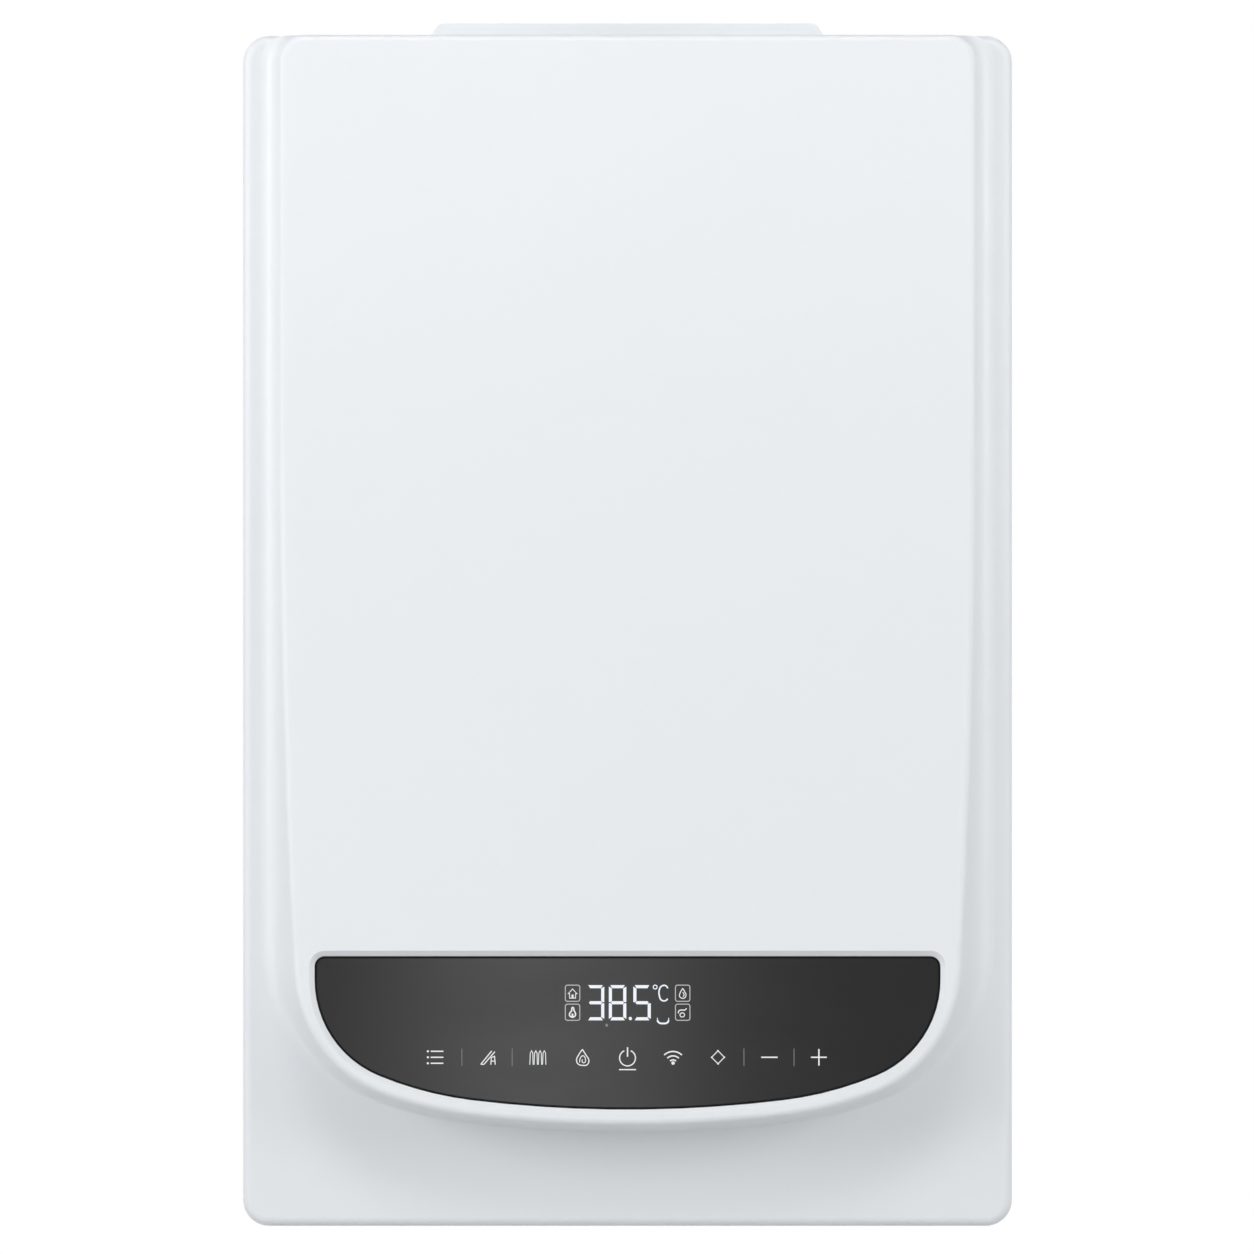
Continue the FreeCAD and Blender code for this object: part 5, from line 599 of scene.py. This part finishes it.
def ribbon(bm, points, width, closed=False):
    """Lay a ribbon through points given across and down, in millimetres."""
    spots = [Vector((across, -down, 0)) * MM for across, down in points]
    count = len(spots)
    first = last = None
    for number, spot in enumerate(spots):
        before = spots[number - 1] if number or closed else spot
        after = spots[(number + 1) % count] if number < count - 1 or closed else spot
        come = (spot - before).normalized() if spot != before else (after - spot).normalized()
        leave = (after - spot).normalized() if spot != after else come
        ahead = (come + leave).normalized()
        mitre = max(ahead.dot(leave), SHARPEST_MITRE)
        side = Vector((-ahead.y, ahead.x, 0)) * (width * MM / 2 / mitre)
        if first is None:
            ends = [bm.verts.new(spot - side), bm.verts.new(spot + side)]
            first = last = bm.edges.new(ends)
            continue
        made = bmesh.ops.extrude_edge_only(bm, edges=[last])["geom"]
        last = next(part for part in made if isinstance(part, bmesh.types.BMEdge))
        fresh = [part for part in made if isinstance(part, bmesh.types.BMVert)]
        old = {}
        for vert in fresh:
            old[vert] = next(e.other_vert(vert) for e in vert.link_edges if e is not last)
            vert.co = spot - side if old[vert] is ends[0] else spot + side
        ends = sorted(fresh, key=lambda vert: old[vert] is not ends[0])
    if closed:
        bmesh.ops.bridge_loops(bm, edges=[first, last])


# %% [markdown]
# ## Bends, dots and patches
# Some strokes are bent. Their points could all be typed in, but a Bezier curve through a few of them
# gives the rest, and an arc needs only a middle, a radius and two angles. Dots and the bars of the
# digits are single flat faces.

# %% Bent lines and flat faces
CURVE_STEPS = 6
DOT_SIDES = 20


def curve(points):
    """A smooth line through points, from one spline of the same points."""
    data = bpy.data.curves.new("line", "CURVE")
    spline = data.splines.new("BEZIER")
    spline.bezier_points.add(len(points) - 1)
    for knot, (across, down) in zip(spline.bezier_points, points):
        knot.co = (across, down, 0)
        knot.handle_left_type = knot.handle_right_type = "AUTO"
    data.resolution_u = CURVE_STEPS
    holder = bpy.data.objects.new("line", data)
    mesh = bpy.data.meshes.new_from_object(holder)
    line = [(vert.co.x, vert.co.y) for vert in mesh.vertices]
    bpy.data.objects.remove(holder)
    bpy.data.curves.remove(data)
    bpy.data.meshes.remove(mesh)
    return line


def arc(across, down, radius, start, end, steps):
    """Points of an arc; angles in degrees, clockwise from straight up."""
    angles = [math.radians(start + (end - start) * step / steps) for step in range(steps + 1)]
    return [(across + radius * math.sin(a), down - radius * math.cos(a)) for a in angles]


def dot(bm, across, down, radius):
    spot = Matrix.Translation(Vector((across, -down, 0)) * MM)
    bmesh.ops.create_circle(
        bm, cap_ends=True, segments=DOT_SIDES, radius=radius * MM, matrix=spot)


def patch(bm, points):
    """A flat face with the given corners, across and down in millimetres."""
    corners = [bm.verts.new(Vector((across, -down, 0)) * MM) for across, down in points]
    bmesh.ops.contextual_create(bm, geom=corners)


# %% [markdown]
# ## Printing on the glass
# A print is a thin layer, and a bare face would have no back and no edge. A Solidify modifier could
# thicken it, but an extrusion of all faces at once leaves a plain closed mesh with nothing live on
# it. The layer is sunk a little into the glass, so that no slit shows under it from the side.

# %% Print on the glass
PRINT_THICK = 0.12 * MM
PRINT_SUNK = 0.03 * MM


def print_on_glass(name, bm, material):
    """Give the drawn faces their thickness and carry them onto the glass."""
    bmesh.ops.recalc_face_normals(bm, faces=bm.faces)
    for face in bm.faces:
        if face.normal.z < 0:
            face.normal_flip()
    raised = bmesh.ops.extrude_face_region(bm, geom=list(bm.faces), use_keep_orig=True)["geom"]
    tops = [part for part in raised if isinstance(part, bmesh.types.BMVert)]
    bmesh.ops.translate(bm, verts=tops, vec=(0, 0, PRINT_THICK))
    bmesh.ops.translate(bm, verts=bm.verts, vec=(0, 0, -PRINT_SUNK))
    bmesh.ops.recalc_face_normals(bm, faces=bm.faces)
    bmesh.ops.transform(bm, matrix=BOARD, verts=bm.verts)
    mesh = bpy.data.meshes.new(name)
    bm.to_mesh(mesh)
    bm.free()
    mesh.materials.append(material)
    piece = bpy.data.objects.new(name, mesh)
    bpy.context.scene.collection.objects.link(piece)
    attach(piece, "cover")
    print(name, len(mesh.polygons), "faces")


print("a print is", PRINT_THICK / MM, "mm thick and sunk", PRINT_SUNK / MM, "mm")

# %% [markdown]
# ## Lit finishes
# The digits are lamps behind the glass: white with a trace of blue. The touch symbols are dimmer, and
# the thin bars between them are only grey print, so their glow is painted light. Real lamps behind
# the pane would need glass that lets light through and take long to render clean, so the print itself
# glows, at about the level of white paper. A faint cloud in the glow keeps it from looking cut out of
# that paper.

# %% Lit print
GLOW_CLOUD = 300.0


def lit(name, colour, faint, strength):
    finish = Finish(name, Roughness=0.4, Emission_Strength=strength)
    cloud = finish.noise(GLOW_CLOUD)
    finish.set(
        Base_Color=finish.blend(cloud, srgb(44, 44, 46), srgb(30, 30, 32)),
        Emission_Color=finish.blend(cloud, colour, faint),
    )
    return finish.material


DIGIT_LIGHT = lit("digit_light", srgb(252, 254, 255), srgb(226, 236, 250), 0.95)
SYMBOL_LIGHT = lit("symbol_light", srgb(250, 250, 250), srgb(230, 232, 234), 0.92)
FRAME_LIGHT = lit("frame_light", srgb(206, 206, 208), srgb(184, 186, 190), 0.85)
# The bars are grey print, no lamp: their glow is painted light.
BAR_PAINTED_GLOW = lit("bar_painted_glow", srgb(116, 116, 116), srgb(100, 100, 100), 0.90)
STANDBY_LIGHT = lit("standby_light", srgb(128, 146, 164), srgb(108, 126, 146), 0.80)
print("lit:", DIGIT_LIGHT.name, SYMBOL_LIGHT.name, FRAME_LIGHT.name, "and two dim ones")

# %% [markdown]
# ## The black border
# The pane is printed black along its edge, and this print also paints the shade in the gap to the
# cover as a fine dark line. The outline could be typed in again, but it would drift from the drawing.
# So we copy the pane's own mesh onto the board, keep its front faces, melt them into one and inset
# that face: the rim that the inset leaves is the border.

# %% Border along the edge of the glass
BORDER_WIDE = 1.0 * MM
WELD = 0.001 * MM
FACING_FRONT = 0.9


# Black edge print that also paints the shade in the gap to the cover.
def edge_print_gap_shade():
    finish = Finish("edge_print_gap_shade", Specular_IOR_Level=0.12)
    cloud = finish.noise(GLOW_CLOUD)
    finish.set(
        Base_Color=finish.blend(cloud, srgb(10, 10, 11), srgb(16, 16, 17)),
        Roughness=0.6 + 0.1 * cloud,
    )
    return finish.material


border = bmesh.new()
border.from_mesh(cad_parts["control_glass"].data)
bmesh.ops.transform(border, matrix=BOARD.inverted(), verts=border.verts)
bmesh.ops.remove_doubles(border, verts=border.verts, dist=WELD)
border.normal_update()
others = [face for face in border.faces if face.normal.z < FACING_FRONT]
bmesh.ops.delete(border, geom=others, context="FACES")
pane = bmesh.ops.dissolve_faces(border, faces=list(border.faces))["region"]
bmesh.ops.inset_region(
    border, faces=pane, thickness=BORDER_WIDE, use_boundary=True, use_even_offset=True)
bmesh.ops.delete(border, geom=pane, context="FACES")
print_on_glass("glass_edge_gap_shade", border, edge_print_gap_shade())

# %% [markdown]
# ## The temperature
# Three seven-segment digits with a point. A text object could write the figures, but a plain font has
# none of the thin gaps of a lamp display. A segment is one flat bar whose ends are cut on a slant, so
# that two bars meet at a corner along a thin dark line. We write the corners of three bars only: the
# top bar, the upper right bar and the middle bar. Mirroring them in the digit's box gives the others.

# %% Bars of a digit
DIGIT_TALL = 20.0
DIGIT_WIDE = 9.9
STROKE = 1.75
NOTCH = 0.85
SLIT = 0.12

near, far = STROKE + SLIT, DIGIT_WIDE - STROKE - SLIT
waist = DIGIT_TALL / 2
TOP_BAR = [(NOTCH, 0), (DIGIT_WIDE - NOTCH, 0), (far, STROKE), (near, STROKE)]
RIGHT_BAR = [
    (DIGIT_WIDE, NOTCH), (DIGIT_WIDE, waist - 3 * SLIT),
    (DIGIT_WIDE - STROKE / 2, waist - 2 * SLIT),
    (DIGIT_WIDE - STROKE, waist - STROKE / 2 - SLIT), (DIGIT_WIDE - STROKE, near),
]
MIDDLE_BAR = [
    (STROKE / 2 + 3 * SLIT, waist), (near, waist - STROKE / 2), (far, waist - STROKE / 2),
    (DIGIT_WIDE - STROKE / 2 - 3 * SLIT, waist), (far, waist + STROKE / 2),
    (near, waist + STROKE / 2),
]
print("a digit is", DIGIT_WIDE, "mm wide and", DIGIT_TALL, "mm tall")


# %% Seven-segment digits
def upside_down(bar):
    return [(across, DIGIT_TALL - down) for across, down in bar]


def mirrored(bar):
    return [(DIGIT_WIDE - across, down) for across, down in bar]


BARS = {
    "top": TOP_BAR, "middle": MIDDLE_BAR, "bottom": upside_down(TOP_BAR),
    "right_high": RIGHT_BAR, "right_low": upside_down(RIGHT_BAR),
    "left_high": mirrored(RIGHT_BAR), "left_low": mirrored(upside_down(RIGHT_BAR)),
}
LEVEL_BARS = ["top", "middle", "bottom"]
THREE = LEVEL_BARS + ["right_high", "right_low"]
EIGHT = THREE + ["left_high", "left_low"]
FIVE = LEVEL_BARS + ["left_high", "right_low"]
DIGIT_TOP = 16.2
POINT_PLACE, POINT_RADIUS = (1.6, 35.2), 0.95

digits = bmesh.new()
for figure, left in ((THREE, -23.1), (EIGHT, -10.6), (FIVE, 3.3)):
    for name in figure:
        patch(digits, [(left + across, DIGIT_TOP + down) for across, down in BARS[name]])
dot(digits, *POINT_PLACE, POINT_RADIUS)
print_on_glass("temperature_digits", digits, DIGIT_LIGHT)

# %% [markdown]
# ## The small signs round the temperature
# A degree ring and a C stand right of the digits, with a small basin below them and a dim standby dot
# on the other side. Left and right are two pairs of framed signs: a house and a flame, a water drop
# and a tap, the usual signs of room heating and hot water. A symbol font could hold them, but its
# lines are too heavy at this size, so each is drawn with our own thin ribbons. The frames are dimmer
# than the pictures in them.

# %% Degree sign, basin and standby dot
DEGREE_RING = arc(15.7, 17.3, 1.1, 0, 345, 16)
LETTER_C = [
    (22.9, 18.0), (21.8, 16.6), (19.6, 16.6), (18.2, 18.4),
    (18.1, 22.4), (19.4, 24.8), (21.6, 25.0), (22.8, 23.9),
]
BASIN = [(16.9, 36.2), (17.8, 37.5), (20.2, 38.0), (22.6, 37.5), (23.4, 36.2)]
BASIN_SIDES = [[(17.0, 34.8), (16.9, 36.2)], [(23.3, 34.8), (23.4, 36.2)]]
STANDBY_PLACE, STANDBY_RADIUS = (-11.8, 39.0), 0.85

signs = bmesh.new()
ribbon(signs, DEGREE_RING, 0.55, closed=True)
ribbon(signs, curve(LETTER_C), 0.8)
ribbon(signs, curve(BASIN), 0.95)
for side in BASIN_SIDES:
    ribbon(signs, side, 0.4)
print_on_glass("temperature_signs", signs, DIGIT_LIGHT)

standby = bmesh.new()
dot(standby, *STANDBY_PLACE, STANDBY_RADIUS)
print_on_glass("standby_dot", standby, STANDBY_LIGHT)

# %% Frames
LEFT_SIGN, RIGHT_SIGN = -35.3, 27.2
HIGH_SIGN, LOW_SIGN = 16.2, 27.0
SIGN_WIDE, SIGN_TALL = 8.2, 9.2
FRAME_CORNER = 1.2
FRAME_LINE = 0.5


def frame_sign(bm, left, top):
    """A frame with rounded corners, drawn clockwise from the upper left one."""
    near_side, far_side = left + FRAME_CORNER, left + SIGN_WIDE - FRAME_CORNER
    high, low = top + FRAME_CORNER, top + SIGN_TALL - FRAME_CORNER
    middles = [(near_side, high), (far_side, high), (far_side, low), (near_side, low)]
    line = []
    for quarter, (across, down) in enumerate(middles):
        line += arc(across, down, FRAME_CORNER, 90 * quarter - 90, 90 * quarter, 6)
    ribbon(bm, line, FRAME_LINE, closed=True)


frames = bmesh.new()
for left in (LEFT_SIGN, RIGHT_SIGN):
    for top in (HIGH_SIGN, LOW_SIGN):
        frame_sign(frames, left, top)
print_on_glass("temperature_frames", frames, FRAME_LIGHT)

# %% Pictures in the frames
HOUSE = [(1.6, 4.9), (4.1, 2.2), (6.6, 4.9), (5.8, 4.9), (5.8, 7.4), (2.4, 7.4), (2.4, 4.9)]
DOOR = [(4.1, 7.2), (4.1, 5.4)]
FLAME = [
    (4.1, 7.6), (2.5, 6.6), (2.5, 5.2), (3.5, 3.9), (4.2, 1.9),
    (5.0, 3.8), (5.7, 5.1), (5.6, 6.6), (4.1, 7.6),
]
FLAME_HEART = [(4.1, 7.2), (4.0, 5.4)]
DROP = [
    (4.1, 1.8), (5.3, 3.8), (6.0, 5.5), (5.2, 7.2),
    (3.6, 7.4), (2.3, 6.2), (2.7, 4.4), (4.1, 1.8),
]
DROP_SHINE = [(4.2, 4.0), (4.9, 5.5), (4.3, 6.5)]
TAP = [(1.6, 5.2), (2.0, 3.8), (3.6, 3.3), (5.2, 3.4), (6.3, 2.4)]
SPOUT = [
    (2.6, 5.6), (3.6, 5.0), (4.9, 5.4), (5.0, 6.7), (3.8, 7.3), (2.7, 6.7), (2.6, 5.6),
]
pictures = bmesh.new()


def picture(points, left, top, width, smooth=True, closed=False):
    """A stroke drawn inside a frame, from the frame's own corner."""
    line = [(left + across, top + down) for across, down in points]
    ribbon(pictures, curve(line) if smooth else line, width, closed)


picture(HOUSE, LEFT_SIGN, HIGH_SIGN, 0.45, smooth=False, closed=True)
picture(DOOR, LEFT_SIGN, HIGH_SIGN, 1.1, smooth=False)
picture(FLAME, LEFT_SIGN, LOW_SIGN, 0.75)
picture(FLAME_HEART, LEFT_SIGN, LOW_SIGN, 1.0, smooth=False)
picture(DROP, RIGHT_SIGN, HIGH_SIGN, 0.5)
picture(DROP_SHINE, RIGHT_SIGN, HIGH_SIGN, 0.5)
picture(TAP, RIGHT_SIGN, LOW_SIGN, 0.6)
picture(SPOUT, RIGHT_SIGN, LOW_SIGN, 0.5)
print_on_glass("temperature_pictures", pictures, SYMBOL_LIGHT)

# %% [markdown]
# ## The touch row
# Nine touch fields in one row: a list, a roof slope, a radiator, a drop, the power ring, a radio fan,
# a diamond, minus and plus. Pictures on small planes could show them, but they blur when one comes
# close, while drawn strokes stay sharp. Each symbol is a few strokes about the row's middle line.

# %% List and roof slope
ROW_DOWN = 57.2
PEN = 0.65
BROAD_PEN = 0.75
touch = bmesh.new()


def draw(points, width=PEN, closed=False, smooth=False):
    """A stroke of the touch row, its downs counted from the row's middle line."""
    line = [(across, ROW_DOWN + down) for across, down in points]
    ribbon(touch, curve(line) if smooth else line, width, closed)


LIST_GAP = 3.4
for down in (-LIST_GAP, 0, LIST_GAP):
    dot(touch, -113.2, ROW_DOWN + down, 0.6)
    draw([(-111.6, down), (-104.4, down)], 0.7)

SLOPE = [
    ([(-83.2, 4.0), (-77.0, -3.6)], 0.6),
    ([(-81.4, 4.0), (-75.2, -3.2)], 0.6),
    ([(-83.2, 4.0), (-81.4, 4.0)], 0.6),
    ([(-77.5, 4.2), (-77.2, 0.2), (-75.4, -0.6), (-75.0, 4.2)], 0.55),
    ([(-77.3, 2.2), (-75.2, 2.2)], 0.5),
]
for points, width in SLOPE:
    draw(points, width)
print("list and slope:", len(touch.faces), "faces")

# %% Radiator and drop
RIB_COUNT, RIB_FIRST, RIB_GAP = 4, -55.2, 2.4
RIB = [(-0.2, 4.2), (0.1, -2.4), (0.8, -3.7), (1.5, -2.4), (1.7, 4.2)]
for number in range(RIB_COUNT):
    left = RIB_FIRST + RIB_GAP * number
    draw([(left + across, down) for across, down in RIB], 0.45)

BIG_DROP = [
    (-25.6, -4.5), (-23.4, -1.0), (-21.9, 1.8), (-22.9, 4.2), (-25.4, 4.6),
    (-28.0, 3.8), (-28.9, 1.4), (-27.8, -1.2), (-25.6, -4.5),
]
DROP_CURL = [
    (-27.2, 2.9), (-26.8, 0.6), (-25.3, -0.9), (-23.9, 0.9),
    (-24.3, 3.0), (-25.7, 2.6), (-25.6, 1.2),
]
draw(BIG_DROP, 0.6, smooth=True)
draw(DROP_CURL, 0.5, smooth=True)
print("and radiator and drop:", len(touch.faces), "faces")

# %% Power ring, radio fan and diamond
draw(arc(0, 0.4, 4.5, 24, 336, 40))
draw([(0, -5.7), (0, -0.3)], BROAD_PEN)
draw([(-4.8, 7.0), (4.8, 7.0)])

FAN_MIDDLE = 25.8
dot(touch, FAN_MIDDLE, ROW_DOWN + 3.3, 0.95)
for radius in (2.4, 4.7, 7.2):
    draw(arc(FAN_MIDDLE, 3.9, radius, -44, 44, 16), BROAD_PEN)

DIAMOND = [(51.3, -3.7), (54.9, 0), (51.3, 3.7), (47.7, 0)]
draw(DIAMOND, 0.5, closed=True)
for across, down in DIAMOND:
    dot(touch, across, ROW_DOWN + down, 0.48)
print("and ring, fan and diamond:", len(touch.faces), "faces")

# %% Minus, plus and the bars between the fields
MINUS = [(75.8, 0), (85.1, 0)]
PLUS_LEVEL = [(104.0, 0), (113.0, 0)]
PLUS_UPRIGHT = [(108.5, -4.7), (108.5, 4.7)]
for stroke in (MINUS, PLUS_LEVEL, PLUS_UPRIGHT):
    draw(stroke, BROAD_PEN)
print_on_glass("touch_symbols", touch, SYMBOL_LIGHT)

# The bars between the fields glow with painted light, though they are only grey print.
BAR_HALF, BAR_LINE = 5.0, 0.5
bars = bmesh.new()
for across in (-93.9, -65.4, 66.0, 94.4):
    ribbon(bars, [(across, ROW_DOWN - BAR_HALF), (across, ROW_DOWN + BAR_HALF)], BAR_LINE)
print_on_glass("touch_bars", bars, BAR_PAINTED_GLOW)

# %% [markdown]
# ## The studio
# The boiler hangs on a wall, so here it floats well above a pale floor. The camera sees plain white
# behind it, also in metal and through glass. A white sky all round could light it too, but it would
# wash out the cover's shallow forms. So the rays that only bring light meet a softer sky, which is
# bright in front and dim behind, where the wall would be. The Light Path node tells the rays apart.


# %% Floor
def seen_outright(network):
    """1 for a ray from the camera, also by way of a mirror or through glass, and 0 for the rest."""
    seen = network.add("ShaderNodeLightPath", out="Is Camera Ray")
    for name in ("Is Glossy Ray", "Is Transmission Ray"):
        seen = seen.or_higher(network.add("ShaderNodeLightPath", out=name))
    return seen


FLOOR_DROP = 1.6
FLOOR_HALF = 3.0
floor = bmesh.new()
bmesh.ops.create_grid(floor, x_segments=1, y_segments=1, size=FLOOR_HALF)
bmesh.ops.translate(floor, verts=floor.verts, vec=(0, 0, -FLOOR_DROP))
floor_mesh = bpy.data.meshes.new("studio_floor")
floor.to_mesh(floor_mesh)
floor.free()
FLOOR_PALE = Finish("studio_floor", Roughness=0.8, Emission_Strength=0.3)
pale = FLOOR_PALE.blend(FLOOR_PALE.noise(2.0), srgb(236, 236, 236), srgb(232, 232, 232))
glow = FLOOR_PALE.blend(seen_outright(FLOOR_PALE), (0, 0, 0, 1), pale)
FLOOR_PALE.set(Base_Color=pale, Emission_Color=glow)
floor_mesh.materials.append(FLOOR_PALE.material)
floor_piece = bpy.data.objects.new("studio_floor", floor_mesh)
bpy.context.scene.collection.objects.link(floor_piece)
print("floor", FLOOR_DROP, "m below the wall bolts")

# %% Sky
SKY_TINT = srgb(248, 250, 252)
SKY_FRONT, SKY_BEHIND = 0.57, 0.05
DIM_FROM, DIM_TO = -0.25, 0.35

bpy.context.scene.world = bpy.data.worlds.new("studio")
sky = Network(bpy.context.scene.world)
white = sky.add("ShaderNodeBackground", inputs={"Color": (1, 1, 1, 1)})
soft = sky.add("ShaderNodeBackground", inputs={"Color": SKY_TINT, "Strength": SKY_FRONT})
dim = sky.add("ShaderNodeBackground", inputs={"Color": SKY_TINT, "Strength": SKY_BEHIND})
toward = sky.add("ShaderNodeTexCoord", out="Generated")
behind = sky.add("ShaderNodeSeparateXYZ", inputs={"Vector": toward}, out="Y")
share = sky.add("ShaderNodeMapRange", {"interpolation_type": "SMOOTHSTEP"}, {
    "Value": behind, "From Min": DIM_FROM, "From Max": DIM_TO,
})
round_about = sky.add("ShaderNodeMixShader", inputs={"Fac": share, 1: soft, 2: dim})
outright = seen_outright(sky)
choice = sky.add("ShaderNodeMixShader", inputs={"Fac": outright, 1: round_about, 2: white})
sky.add("ShaderNodeOutputWorld", inputs={"Surface": choice})
print("sky", SKY_FRONT, "in front and", SKY_BEHIND, "behind")

# %% [markdown]
# ## The lamps
# Large soft lamps suit a studio: a key from the left and a weaker fill from the right show the
# flanks, and a lamp above the front draws the soft shadow under the chin. A narrow lamp far in
# front is what the dark glass mirrors as its glow, and a small one behind lights the back.


# %% Lamps
def soft_lamp(name, place, aim, size, power):
    data = bpy.data.lights.new(name, "AREA")
    data.shape = "RECTANGLE"
    data.size, data.size_y = size
    data.energy = power
    lamp = bpy.data.objects.new(name, data)
    lamp.location = place
    lamp.rotation_euler = (Vector(aim) - Vector(place)).to_track_quat("-Z", "Y").to_euler()
    bpy.context.scene.collection.objects.link(lamp)
    print(name, power, "W")


MIDDLE = (0, -0.15, -0.25)
UPPER_PANEL = (0, -0.22, -0.15)
TOUCH_PANEL = (-0.05, -0.25, -0.6)
soft_lamp("key_lamp", (-1.98, -1.28, 0.06), MIDDLE, (1.0, 0.9), 18.1)
soft_lamp("fill_lamp", (2.05, -1.28, 0.06), MIDDLE, (1.0, 0.9), 14.0)
soft_lamp("top_lamp", (-0.1, -1.35, 0.95), UPPER_PANEL, (0.9, 0.5), 6.4)
soft_lamp("glow_lamp", (-0.11, -5.2, 0.42), TOUCH_PANEL, (0.30, 0.7), 2.5)
soft_lamp("rear_lamp", (0, 2.6, -0.35), MIDDLE, (0.4, 0.6), 20)

# %% [markdown]
# ## The camera
# The photograph looks straight at the front from a few metres away with a long lens, so the outline
# shows almost no perspective. A camera without any perspective would lose the little that is there,
# so this one has a long lens too and stands level with the middle of the casing.

# %% Camera
FRONT_PLANE = -0.222
CAMERA_AWAY = 4.4
CAMERA_ACROSS, CAMERA_HIGH = -0.0003, -0.3502
SENSOR_WIDE = 36
LENS = 221
camera_data = bpy.data.cameras.new("camera")
camera_data.sensor_width = SENSOR_WIDE
camera_data.lens = LENS
camera = bpy.data.objects.new("camera", camera_data)
camera.location = (CAMERA_ACROSS, FRONT_PLANE - CAMERA_AWAY, CAMERA_HIGH)
camera.rotation_euler = (math.radians(90), 0, 0)
bpy.context.scene.collection.objects.link(camera)
bpy.context.scene.camera = camera
bpy.context.scene.view_settings.view_transform = "Standard"
print("camera", CAMERA_AWAY, "m in front of the casing")
